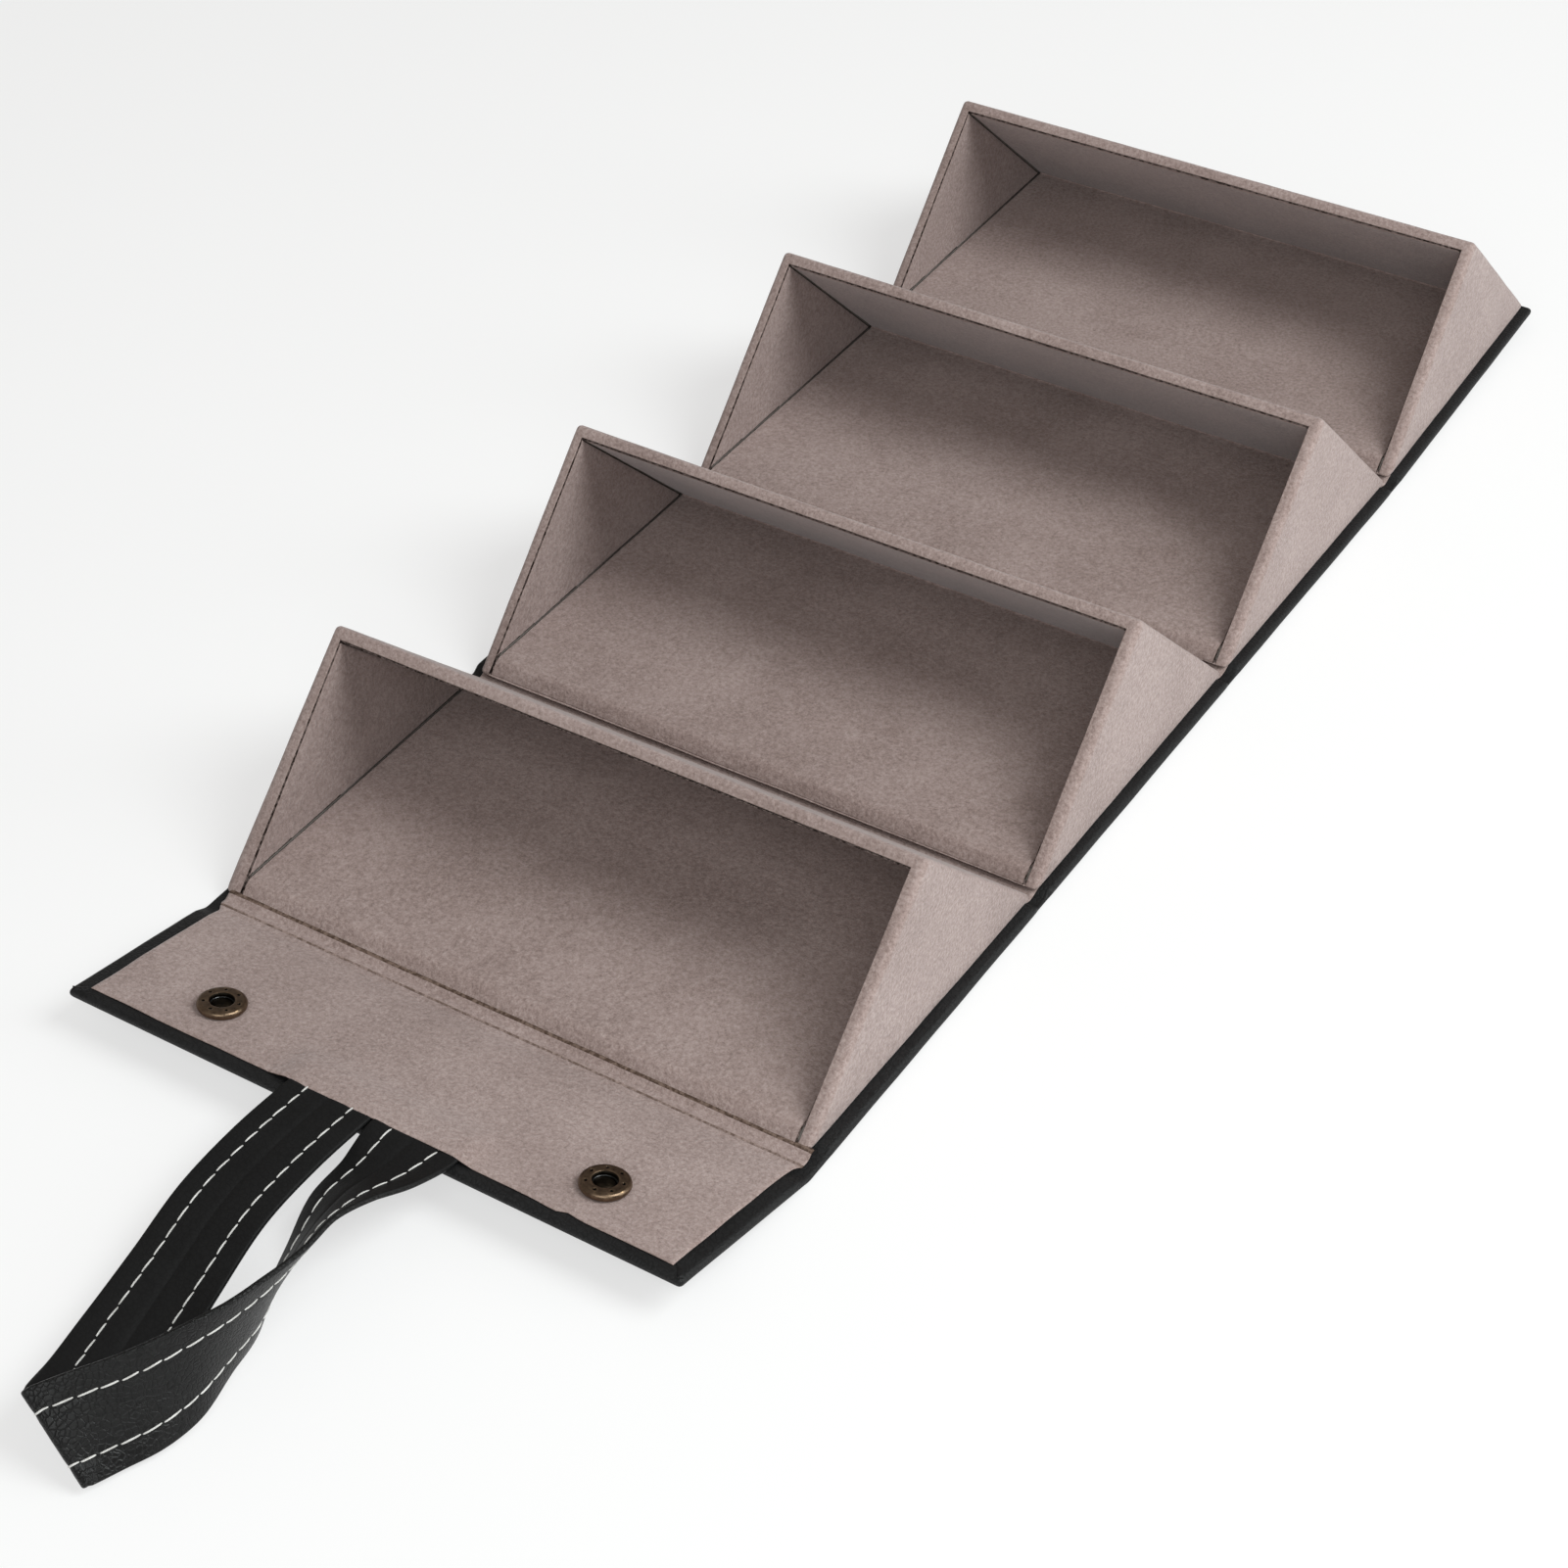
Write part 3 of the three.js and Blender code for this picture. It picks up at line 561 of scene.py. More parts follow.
def tray_shell(number):
    """The suede wrap: bottom, back, both ends, and the rim of the mouth, turned in along its seam."""
    seam_x = TRAY_HALF - RIM_SEAM
    seam_s = SLANT - RIM_SEAM
    places = {
        "a": (TRAY_HALF, FRONT),
        "b": (TRAY_HALF, BACK),
        "c": (TRAY_HALF, RIDGE),
        "f": (seam_x, FRONT),
        "g": (seam_x, on_mouth(seam_s)),
        "i": (seam_x, on_mouth(0.6, -GROOVE)),
        "j": (seam_x, on_mouth(seam_s, -GROOVE)),
    }
    points, corner = [], {}
    for side, sign in (("l", -1), ("r", 1)):
        for letter, (x, yz) in places.items():
            corner[letter + side] = len(points)
            points.append((sign * x, *yz))
    outside = [
        "al bl cl", "ar cr br", "bl br cr cl", "al fl fr ar br bl", "al cl gl fl", "ar fr gr cr",
        "cl cr gr gl",
    ]
    turned_in = ["fl gl jl il", "fr ir jr gr", "gl gr jr jl"]
    faces = [tuple(corner[n] for n in face.split()) for face in outside + turned_in]
    obj = make_piece(f"tray_{number}_shell", points, faces, SUEDE, smooth=False)
    # The turned-in faces in the groove get the dark edge suede: painted shade in the seam.
    obj.data.materials.append(SUEDE_EDGE_AND_SEAM_SHADE)
    for polygon in obj.data.polygons[len(outside):]:
        polygon.material_index = 1
    widths = {
        "al cl": 2.0, "ar cr": 2.0, "cl cr": 1.5, "bl cl": 1.4, "br cr": 1.4, "al bl": 0.7, "ar br": 0.7,
        "bl br": 1.6, "al fl": 1.0, "ar fr": 1.0, "fl gl": 0.4, "fr gr": 0.4, "gl gr": 0.4,
    }
    largest = max(widths.values())
    wanted = {frozenset(corner[n] for n in edge.split()): w / largest for edge, w in widths.items()}
    weights = obj.data.attributes.new("bevel_weight_edge", "FLOAT", "EDGE")
    for edge in obj.data.edges:
        weights.data[edge.index].value = wanted.get(frozenset(edge.vertices), 0.0)
    bevel = obj.modifiers.new("round", "BEVEL")
    bevel.limit_method = "WEIGHT"
    bevel.width = largest * MM
    bevel.segments = 4
    bevel.use_clamp_overlap = False
    apply_modifiers(obj)

    bm = bmesh.new()
    bm.from_mesh(obj.data)
    bmesh.ops.recalc_face_normals(bm, faces=bm.faces)
    cuts = [((x, 0, 0), (1, 0, 0)) for x in range(-78, 79, 6)]
    cuts += [((0, y, 0), (0, 1, 0)) for y in range(-48, 49, 6)]
    cuts += [((0, 0, z), (0, 0, 1)) for z in range(8, 51, 6)]
    for place, normal in cuts:
        bmesh.ops.bisect_plane(bm, geom=bm.verts[:] + bm.edges[:] + bm.faces[:], dist=1e-7,
                               plane_co=Vector(place) * MM, plane_no=normal)
    bm.to_mesh(obj.data)
    bm.free()
    obj.data.shade_smooth()
    soften(obj, 0.09, 16, number)
    add_thickness(obj, SKIN)
    obj.modifiers.new("normals", "WEIGHTED_NORMAL").keep_sharp = False
    return apply_modifiers(obj)


def tray_floor_lining(number):
    """One sheet over the rounded front edge, along the floor and up the back to the ridge's seam."""
    proud = 0.14
    front_top = meet(*FLOOR_LINE, on_mouth(0, proud), MOUTH_UP)
    front_low = on_mouth(0, proud)
    corners = [front_low + np.array((3.0, -0.45)), front_low, front_top, INNER_CORNER]
    line = round_corners(corners + [INNER_TOP - BACK_UP * LINING_SUNK], [0.5, 3.5, 0.25])
    line = fill_line(line, 2.6)
    half = TRAY_HALF - WALL - 0.03
    columns = spaced_with_ends(-half, half, 3.0, [0, 0.12, 0.35, 0.7, 1.3])
    tangent = unit_rows(np.gradient(line, axis=0))
    inward = np.stack([tangent[:, 1], -tangent[:, 0]], axis=1)
    points = []
    for k, (yz, down) in enumerate(zip(line, inward)):
        on_rim = 1 - float(smoothstep(-(yz - FRONT) @ MOUTH_OUT / 0.9))
        for x in columns:
            gap = half - abs(x)
            roll = 0.22 * max(0.0, 1 - gap / 0.9) ** 2 * (1 - on_rim)
            ragged = 0.10 * wander((k * 2.6, 40 * np.sign(x), 0), 5, number) * on_rim if gap < 2 else 0.0
            swell = 0.10 * wander((x, *yz), 22, number + 5) + 0.05 * wander((x, *yz), 6, number + 8)
            y, z = yz + down * (roll + swell)
            points.append((x + np.sign(x) * ragged, y, z))
    obj = make_piece(f"tray_{number}_floor_lining", points, grid_faces(len(line), len(columns)), SUEDE)
    # Strips along both sides, where the floor meets the end linings, are painted dark as shade in the corners.
    for polygon in obj.data.polygons:
        polygon.material_index = int(abs(polygon.center.x) / MM > half - SEAM_SHADE_HALF)
    return orient_and_thicken(obj, Vector((0, -0.5, 1)), LINING_SKIN, SUEDE_EDGE_AND_SEAM_SHADE)


def orient_and_thicken(obj, towards, thickness, edge_material=None):
    """Turns an open sheet's visible side to a direction, then gives it thickness on the other side."""
    total = Vector((0, 0, 0))
    for polygon in obj.data.polygons:
        total += polygon.normal * polygon.area
    if total.dot(towards) < 0:
        obj.data.flip_normals()
    return add_thickness(obj, thickness, edge_material)


def tray_end_lining(number, side, sign):
    """The triangle that lines an end wall. Its cut edge lies just inside the rim, deeper on the right."""
    face_x = TRAY_HALF - WALL
    length = float(np.linalg.norm(INNER_TOP - INNER_FRONT)) - 0.3
    rows = np.concatenate([
        [0.0, 0.6, 1.5], np.linspace(3, length - 1.5, 26), [length - 0.7, length - 0.25, length],
    ])
    shares = np.concatenate([
        [0, 0.003, 0.007, 0.012, 0.019, 0.03], np.linspace(0.06, 0.96, 24), [0.985, 0.995, 1.0],
    ])
    points = [(sign * face_x, *(INNER_FRONT + MOUTH_UP * 0.25))]
    for s in rows[1:]:
        sunk = LINING_SUNK + (0.75 * float(smoothstep((s - 5) / 4)) if sign > 0 else 0.0)
        for share in shares:
            e = s * share
            yz = INNER_FRONT + MOUTH_UP * (s + 0.25) - MOUTH_OUT * (e + sunk)
            near_floor = (s - e) / math.sqrt(2)
            near_back = length - s
            x = face_x
            x += 0.1 * max(0.0, 1 - e / 1.1) ** 2
            x += 0.2 * max(0.0, 1 - min(near_floor, near_back) / 0.7) ** 2
            x -= 0.08 * wander((sign * 60, *yz), 18, number + 11)
            ragged = 0.1 * wander((s, sign * 30, 0), 4, number) if e < 1 else 0.0
            yz = yz + MOUTH_OUT * ragged
            points.append((sign * x, yz[0], max(yz[1], FLOOR_TOP + 0.05)))
    count = len(shares)
    faces = [(0, 1 + k, 2 + k) for k in range(count - 1)]
    faces += [tuple(1 + v for v in face) for face in grid_faces(len(rows) - 1, count)]
    obj = make_piece(f"tray_{number}_{side}_lining_sheet", points, faces, SUEDE)
    # Strips along the floor and the back are painted dark as shade in the corners.
    for polygon in obj.data.polygons:
        yz = np.array(polygon.center[1:]) / MM
        from_back = (INNER_TOP - yz) @ MOUTH_UP
        polygon.material_index = int(min(yz[1] - FLOOR_TOP, from_back) < SEAM_SHADE_HALF)
    return orient_and_thicken(obj, Vector((-sign, 0, 0)), LINING_SKIN, SUEDE_EDGE_AND_SEAM_SHADE)


for number in range(1, TRAY_COUNT + 1):
    body = f"tray_{number}"
    boards = [f"{body}_{place}_board" for place in ("floor", "back", "left", "right")]
    skins = [
        (tray_shell(number), "wrap", dict(flat=SHELL_CUT, area=SHELL_AREA, held="folded", rests_on=boards)),
        (tray_floor_lining(number), "floor_back_lining",
         dict(flat=FLOOR_CUT, held="folded", rests_on=boards[:2])),
    ]
    for side, sign in SIDES:
        cut = dict(flat=END_CUT, area=END_AREA, held="laid", rests_on=[f"{body}_{side}_board"])
        skins.append((tray_end_lining(number, side, sign), f"{side}_lining", cut))
    for skin, node, cut in skins:
        place_tray(skin, number)
        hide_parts(f"{body}_{node}")
        if number in SETTLED:
            settle(skin, SETTLED[number])
        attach(skin, body)
    if number in SETTLED:
        for board in boards:
            shaped_board(board, body, SETTLED[number])


# Cover and flap: drawn flat, then turned up about their fold lines
def skew_flap(points, run=FLAP_LENGTH):
    """The flap lies a little askew: its near end is shifted to the left and slightly narrower."""
    p = np.array(points, float)
    share = np.clip((FLAP_AXIS_Y - p[:, 1]) / run, 0, 1)
    p[:, 0] = p[:, 0] * (1 - share * FLAP_NARROWING / COVER_HALF) + share * FLAP_SKEW
    return p


def turn_beyond(points, axis_y, axis_z, half, angle):
    """Turns points up beyond a fold line, with a soft bend: those at larger y if the angle is above zero."""
    p = np.array(points, float)
    dy = p[:, 1] - axis_y
    dz = p[:, 2] - axis_z
    a = angle * smoothstep((half + math.copysign(1, angle) * dy) / (2 * half))
    p[:, 1] = axis_y + np.cos(a) * dy - np.sin(a) * dz
    p[:, 2] = axis_z + np.sin(a) * dy + np.cos(a) * dz
    return p


def turn_up(points):
    return turn_beyond(points, FLAP_AXIS_Y, FLAP_FOLD_HEIGHT, FLAP_BEND, -FLAP_REST)


def flap_point(x, reach, height):
    return turn_up([(x, FLAP_AXIS_Y - reach, height)])[0]


def lean_last(points):
    """Turns points of the last panel up as it leans on its studs."""
    return turn_beyond(points, LAST_FOLD, FOLD_HEIGHT, LEAN_BEND, STUD_LEAN)


def bend(piece):
    """Bakes the sheet's placement into its points."""
    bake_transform(piece)


def lay_over_fold(piece, k, kind):
    """A sheet over fold k stands for the CAD sheet of the near panel, and at the last fold for both."""
    panels = (k + 1, k + 2)
    bend(piece)
    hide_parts(*[f"panel_{n}_{kind}" for n in (panels if k == len(TRAY_FOLDS) - 1 else panels[:1])])


def cover_section(half, low, high, edge):
    """A closed ring in (x, z): a flat sheet with turned, rounded side edges."""
    ring = []
    columns = np.linspace(-half + edge, half - edge, 29)
    thick = (high - low) / 2
    for sign, level in ((1, low), (-1, high)):
        ring += [(sign * x, level) for x in columns]
        for k in range(1, 8):
            a = math.pi * k / 8
            ring.append((sign * (half - edge + edge * math.sin(a)), low + thick - sign * thick * math.cos(a)))
    return ring


# Fold lines along the flat cover, and the creases at them
TRAY_FOLDS = [(i + 0.5) * PITCH for i in range(TRAY_COUNT - 1)]
CREASE_HALF = 4.5
CREASE_TOP = 1.0
FLAP_EDGE = FLAP_AXIS_Y - FLAP_LENGTH


def crease_share(y):
    """1 in a crease, 0 on a board."""
    share = max(float(1 - smoothstep((abs(y - fold) - 1.6) / (CREASE_HALF - 1.6))) for fold in TRAY_FOLDS)
    flap_low, flap_high = FLAP_AXIS_Y - 3.0, -47.8
    inside = smoothstep((y - flap_low + 2.5) / 5.0) * (1 - smoothstep((y - flap_high + 1.4) / 2.4))
    return max(share, 0.6 * float(inside))


def cover_piece(name, low_y, high_y, crease, free_start=False, free_end=False):
    stations = stations_between(low_y, high_y, crease, free_start, free_end)
    rings = []
    for y in stations:
        sunk = crease_share(y)
        half = COVER_HALF - 0.35 * sunk + 0.12 * wander((0, y, 0), 14, 2)
        high = COVER_TOP + (CREASE_TOP - COVER_TOP) * sunk
        low = 0.12 * sunk
        from_start = y - stations[0] if free_start else HEM_ROUND
        from_end = stations[-1] - y if free_end else HEM_ROUND
        inset = HEM_ROUND - min(HEM_ROUND, from_start, from_end)
        drop = HEM_ROUND - math.sqrt(HEM_ROUND ** 2 - inset ** 2)
        high -= drop
        low += drop
        half -= 0.6 * drop
        edge = min(1.3, (high - low) / 2 + 0.15)
        ring = []
        for x, z in cover_section(half, low, high, edge):
            outer = smoothstep((abs(x) - 60) / 25)
            z += float(outer) * 0.10 * wander((x, y, 0), 11, 4) if z > COVER_TOP / 2 else 0.0
            ring.append((x, y, z))
        rings.append(ring)
    points, faces = loft(rings)
    points = narrow_far(lean_last(turn_up(skew_flap(points))))
    obj = make_piece(name, points, faces, LEATHER)
    for polygon in obj.data.polygons:
        polygon.use_smooth = len(polygon.vertices) == 4
    return obj


def stations_between(low, high, crease, free_start, free_end):
    """Values along Y that are close together in the crease and at free edges."""
    values = set()
    for start, end, step in ((low, high, 6), (*crease, 0.6)):
        values |= set(np.round(np.linspace(start, end, int((end - start) / step) + 2), 3))
    ends = (0.05, 0.15, 0.35, 0.65, 1.2)
    values |= {round(low + d, 3) for d in (ends if free_start else ends[:1])}
    values |= {round(high - d, 3) for d in (ends if free_end else ends[:1])}
    ordered = sorted(v for v in values if low <= v <= high)
    kept = [ordered[0]]
    for v in ordered[1:]:
        if v - kept[-1] > 0.04:
            kept.append(v)
    kept[-1] = ordered[-1]
    return kept


FLAP_CREASE = (FLAP_AXIS_Y - 4.5, -46.5)

flap_cover = cover_piece("flap_cover_skin", FLAP_EDGE, 0.0, FLAP_CREASE, free_start=True)
bend(flap_cover)
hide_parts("flap_cover")

shaped_board("flap_board", "flap", lambda points: skew_flap(points, FLAP_LENGTH * math.cos(FLAP_REST)))
shaped_board("panel_4_board", "tray_4", narrow_far)

for k, fold in enumerate(TRAY_FOLDS):
    last = k == len(TRAY_FOLDS) - 1
    crease = (fold - CREASE_HALF - 0.6, fold + CREASE_HALF + 0.6)
    far = FAR_EDGE if last else (k + 1) * PITCH
    skin = cover_piece(f"cover_skin_{k + 1}", k * PITCH, far, crease, free_end=last)
    lay_over_fold(skin, k, "cover")


# Suede strips in the creases between the trays
def crease_lining(k, fold):
    rows = np.concatenate([np.linspace(-8, -3, 6), np.linspace(-2.6, 2.6, 14), np.linspace(3, 8, 6)])
    heights = hermite([-8, -5, -3.2, -1.6, 0, 1.6, 3.2, 5, 8],
                      [2.62, 2.62, 2.35, 1.75, 1.5, 1.75, 2.35, 2.62, 2.62], rows)
    columns = spaced_with_ends(-LINING_HALF - 1.2, LINING_HALF + 1.2, 4, [0, 0.2, 0.6, 1.2])
    points = []
    for dy, z in zip(rows, heights):
        for x in columns:
            end = LINING_HALF + 1.2 - abs(x)
            wave = 0.08 * wander((x, fold + dy, 0), 9, 6)
            drop = 0.3 * max(0.0, 1 - end / 0.6) ** 2
            ragged = 0.25 * wander((np.sign(x) * 9, dy, fold), 3, 6) if end < 1 else 0.0
            points.append((x + ragged, fold + dy, z + wave - drop))
    points = lean_last(points)
    obj = make_piece(f"crease_lining_{k + 1}", points, grid_faces(len(rows), len(columns)), SUEDE)
    return orient_and_thicken(obj, Vector((0, 0, 1)), SKIN)


for k, fold in enumerate(TRAY_FOLDS):
    lay_over_fold(crease_lining(k, fold), k, "lining")


# Flap lining: ends at the tray's front edge, with a crease painted darker as shade, a strip painted dark as
# shade under the tray's front edge, and a swell over the strap ends
CREASE_LINE = -55.2
HINGE_LINE = -51.65


def flap_lining():
    front = FLAP_EDGE + FLAP_LINING_INSET
    rows = sorted(set(np.round(np.concatenate([
        front + np.array([0, 0.15, 0.4, 0.9, 1.8]),
        np.linspace(front + 3.5, -58.0, 14),
        np.linspace(-57.4, -56.2, 4),
        np.linspace(-56.0, -54.4, 17),
        np.linspace(-54.0, -52.6, 8),
        np.linspace(-52.4, -51.4, 6),
        [-51.3, -51.1, -50.8, -50.5, -50.2],
    ]), 3)))
    level = hermite(
        [front, -64, -61.5, -59.4, -57.0, -56.0, -55.5, -55.2]
        + [-54.9, -54.4, -53.3, -52.6, -51.6, -51.05, -50.7, -50.2],
        [3.2, 3.2, 3.12, 2.85, 2.6, 2.54, 2.42, 2.22]
        + [2.4, 2.5, 2.45, 2.7, 3.35, 3.65, 3.6, 3.55], rows)
    columns = spaced_with_ends(-LINING_HALF, LINING_HALF, 2.6, [0, 0.15, 0.4, 0.9, 1.7])
    points = []
    for y, z in zip(rows, level):
        depth = y - front
        hinge_step = 1.5 * float(smoothstep((y + 57.5) / 3))
        for x in columns:
            side = LINING_HALF - abs(x)
            near_front = math.exp(-depth / 6)
            wave = 0.35 * wander((x, 3, 0), 19, 1) + 0.15 * wander((x, 7, 0), 6, 2)
            dent = 0.9 * math.exp(-((x - 56.5) / 1.6) ** 2) - 0.6 * math.exp(-((x - 52) / 3.5) ** 2)
            bulge = 0.4 * float(1 - smoothstep((abs(x - 1) - 18) / 14))
            y_edge = y + near_front * (wave + dent - bulge) * float(smoothstep((30 - depth) / 20))
            sway = 0.3 * wander((np.sign(x) * 5, y, 0), 11, 3) + hinge_step
            x_edge = x + np.sign(x) * sway * float(smoothstep((abs(x) - 55) / 25))
            lift = 1.35 * float(1 - smoothstep((abs(x) - 23.5) / 7)) * float(1 - smoothstep((depth - 7.5) / 7))
            swell = 0.16 * wander((x, y, 0), 24, 7) + 0.07 * wander((x, y, 0), 8, 9)
            edge = min(depth, side)
            drop = 0.35 * max(0.0, 1 - edge / 0.9) ** 2
            points.append((x_edge, y_edge, z + lift + swell * float(smoothstep(edge / 5)) - drop))
    points = turn_up(skew_flap(points))
    obj = make_piece("flap_lining_sheet", points, grid_faces(len(rows), len(columns)), SUEDE)
    # Painted shade: a darker line along the crease, and a dark strip beyond HINGE_LINE, where the sheet runs
    # under the tray's front edge.
    for index, polygon in enumerate(obj.data.polygons):
        y = rows[index // (len(columns) - 1)]
        polygon.material_index = 2 if y > HINGE_LINE else int(abs(y - CREASE_LINE) < 0.32)
    obj.data.materials.append(SUEDE_CREASE_SHADE)
    return orient_and_thicken(obj, Vector((0, 0, 1)), SKIN, SUEDE_HINGE_SHADE_AND_EDGE)


def corner_tuck(name, sign):
    """The small roll of leatherette where the hem is folded over a near corner of the flap."""
    corner = np.array((sign * (COVER_HALF - 0.9), FLAP_EDGE + 0.7))
    along = unit((-sign * 0.72, 0.69))
    beside = np.array((along[1], -along[0]))
    rings = []
    for t in np.linspace(0, 1, 12):
        middle = corner + along * 6.0 * t + beside * 0.5 * math.sin(3 * t)
        width = 0.8 * math.sqrt(max(0.02, 1 - t ** 2))
        height = 0.55 * (1 - 0.8 * t)
        rings.append([(*(middle + beside * width * c), COVER_TOP - 0.1 + height * s) for c, s in circle(12)])
    points, faces = loft(rings)
    return make_piece(name, turn_up(skew_flap(points)), faces, LEATHER)


for side, sign in SIDES:
    tuck = corner_tuck(f"{side}_corner_tuck", sign)
    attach(tuck, "flap")

lining = flap_lining()
bend(lining)
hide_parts("flap_lining")


# Handle strap
LEG_X = 12.3
STRAP_EXIT = flap_point(0, FLAP_LENGTH + 0.25, 1.65)
STRAP_ROUTE = [
    [[-12.8, -15.5, 2.0], [-1, 0, 0]],
    [[-12.6, -34, 1.0], [-1, 0, 0]],
    [[-10.6, -52.5, -2.0], [-1, 0, 0.04]],
    [[-7.9, -70, -3.8], [-0.98, 0.05, 0.16]],
    [[-4, -87, -3.4], [-0.91, 0.1, 0.36]],
    [[-1.7, -98, -2.0], [-0.73, 0.15, 0.66]],
    [[-1.2, -100.8, -1.2], [-0.72, 0.16, 0.67]],
    [[-0.3, -99.2, -0.2], [-0.72, 0.16, 0.67]],
    [[4, -93.8, 0.2], [-0.57, 0.15, 0.81]],
    [[9.4, -86, 1.6], [-0.42, 0.12, 0.9]],
    [[13.2, -76, 2.6], [-0.2, 0.1, 0.98]],
    [[14.4, -64.5, 2.4], [0.1, 0.05, 0.99]],
    [[14.2, -53, 1.6], [0.28, 0, 0.96]],
    [[12.4, -42, 1.8], [0.53, 0, 0.85]],
    [[10.3, -30.5, 2.0], [0.66, 0, 0.75]],
    [[9.9, -19, 2.4], [0.87, 0, 0.5]],
    [[11.8, -8, 1.8], [0.97, 0, 0.25]],
]


def catmull(points, per_span):
    """A smooth curve through the points, with per_span steps in each span."""
    first = 2 * points[0] - points[1]
    last = 2 * points[-1] - points[-2]
    p = np.vstack([first, points, last])
    out = []
    for i in range(1, len(p) - 2):
        for k in range(per_span):
            t = k / per_span
            a, b, c, d = p[i - 1], p[i], p[i + 1], p[i + 2]
            out.append(0.5 * (2 * b + (c - a) * t + (2 * a - 5 * b + 4 * c - d) * t * t
                              + (3 * b - a - 3 * c + d) * t ** 3))
    out.append(points[-1])
    return np.array(out)


STRAP_FOLD = 6
FOLD_RADIUS = 0.85
FOLD_REACH = 14.0


def strap_line(per_span):
    """Middle line and outer-edge directions, from one end under the flap's lining round to the other.

    The two legs meet at the fold: the middle line turns over there in a small arc about the fold line.
    """
    over_hem = COVER_TOP + STRAP_THICKNESS / 2 + 0.05
    reaches = (38.5, 44.0, 48.6)
    places = [STRAP_EXIT + np.array(place) for place, _ in STRAP_ROUTE]
    edges = [unit(edge) for _, edge in STRAP_ROUTE]
    fold = places[STRAP_FOLD]
    axis = edges[STRAP_FOLD]
    before = [flap_point(-LEG_X, reach, over_hem) for reach in reaches] + places[:STRAP_FOLD - 1]
    after = places[STRAP_FOLD + 2:] + [flap_point(LEG_X, reach, over_hem) for reach in reaches[::-1]]
    side = np.array((1.0, 0, 0))
    edges_before = [-side] * len(reaches) + edges[:STRAP_FOLD - 1] + [axis]
    edges_after = [axis] + edges[STRAP_FOLD + 2:] + [side] * len(reaches)

    arrive, leave = (unit(way - axis * (way @ axis)) for way in (fold - before[-1], after[0] - fold))
    turn = math.atan2(np.cross(arrive, leave) @ axis, arrive @ leave)
    arc = []
    for t in np.linspace(0, turn, 9):
        heading = arrive * math.cos(t) + np.cross(axis, arrive) * math.sin(t)
        arc.append(fold + FOLD_RADIUS * np.cross(heading, axis))
    line = np.vstack([catmull(np.array(before + [arc[0]]), per_span), arc[1:-1],
                      catmull(np.array([arc[-1]] + after), per_span)])
    across = np.vstack([catmull(np.array(edges_before), per_span), [axis] * (len(arc) - 2),
                        catmull(np.array(edges_after), per_span)])
    middle = (len(before) * per_span + 1) + (len(arc) - 2) // 2
    return line, across, middle


def strap_frames(per_span=10):
    """Places, edge directions, face normals and distances along the strap."""
    line, across, middle = strap_line(per_span)
    steps = np.linalg.norm(np.diff(line, axis=0), axis=1)
    distance = np.concatenate([[0], np.cumsum(steps)])
    tangent = unit_rows(np.gradient(line, distance, axis=0))
    away = smoothstep(np.abs(distance - distance[middle]) / FOLD_REACH)[:, None]
    across = across * (1 - away) + unit_rows(square_to(across, tangent)) * away
    across /= np.linalg.norm(square_to(across, tangent), axis=1)[:, None]
    normal = unit_rows(np.cross(tangent, across))
    return line, across, normal, distance


def strap_half_thickness(c):
    """Half thickness across the strap: thin at the edges, drawn in along the two sewn rows."""
    half = STRAP_WIDTH / 2
    row = half - STITCH_INSET
    body = STRAP_THICKNESS / 2
    pinch = 0.16 * math.exp(-((abs(c) - row) / 0.9) ** 2)
    gap = half - abs(c)
    edge = min(1.0, math.sqrt(max(0.0, 1 - (1 - min(gap, 0.6) / 0.6) ** 2)))
    return max(0.03, (body - pinch) * (0.25 + 0.75 * edge))


def strap_piece():
    line, across, normal, _ = strap_frames()
    half = STRAP_WIDTH / 2
    row = half - STITCH_INSET
    right = [0.12, 0.5, 2.2, row - 2, row - 0.9, row, row + 0.9, row + 2]
    right += [half - 0.7, half - 0.35, half - 0.12, half]
    columns = [-c for c in right[::-1]] + right
    rings = []
    for i in range(len(line)):
        face, back = [], []
        for c in columns:
            place = line[i] + across[i] * c
            thick = strap_half_thickness(c)
            groove = 0.15 if abs(c) < 0.2 else 0.0
            face.append(place + normal[i] * (thick + 0.06 * wander((c * 1.5, i * 1.3, 3), 9, 1)))
            back.append(place - normal[i] * (thick - groove + 0.06 * wander((c * 1.5, i * 1.3, 8), 9, 2)))
        rings.append(face + back[::-1])
    points, faces = loft(rings)
    obj = make_piece("handle_strap_skin", points, faces, STRAP_FACE)
    obj.data.materials.append(STRAP_BACK)
    count = 2 * len(columns)
    for index, polygon in enumerate(obj.data.polygons):
        if index < (len(rings) - 1) * count and index % count >= len(columns):
            polygon.material_index = 1
    return obj


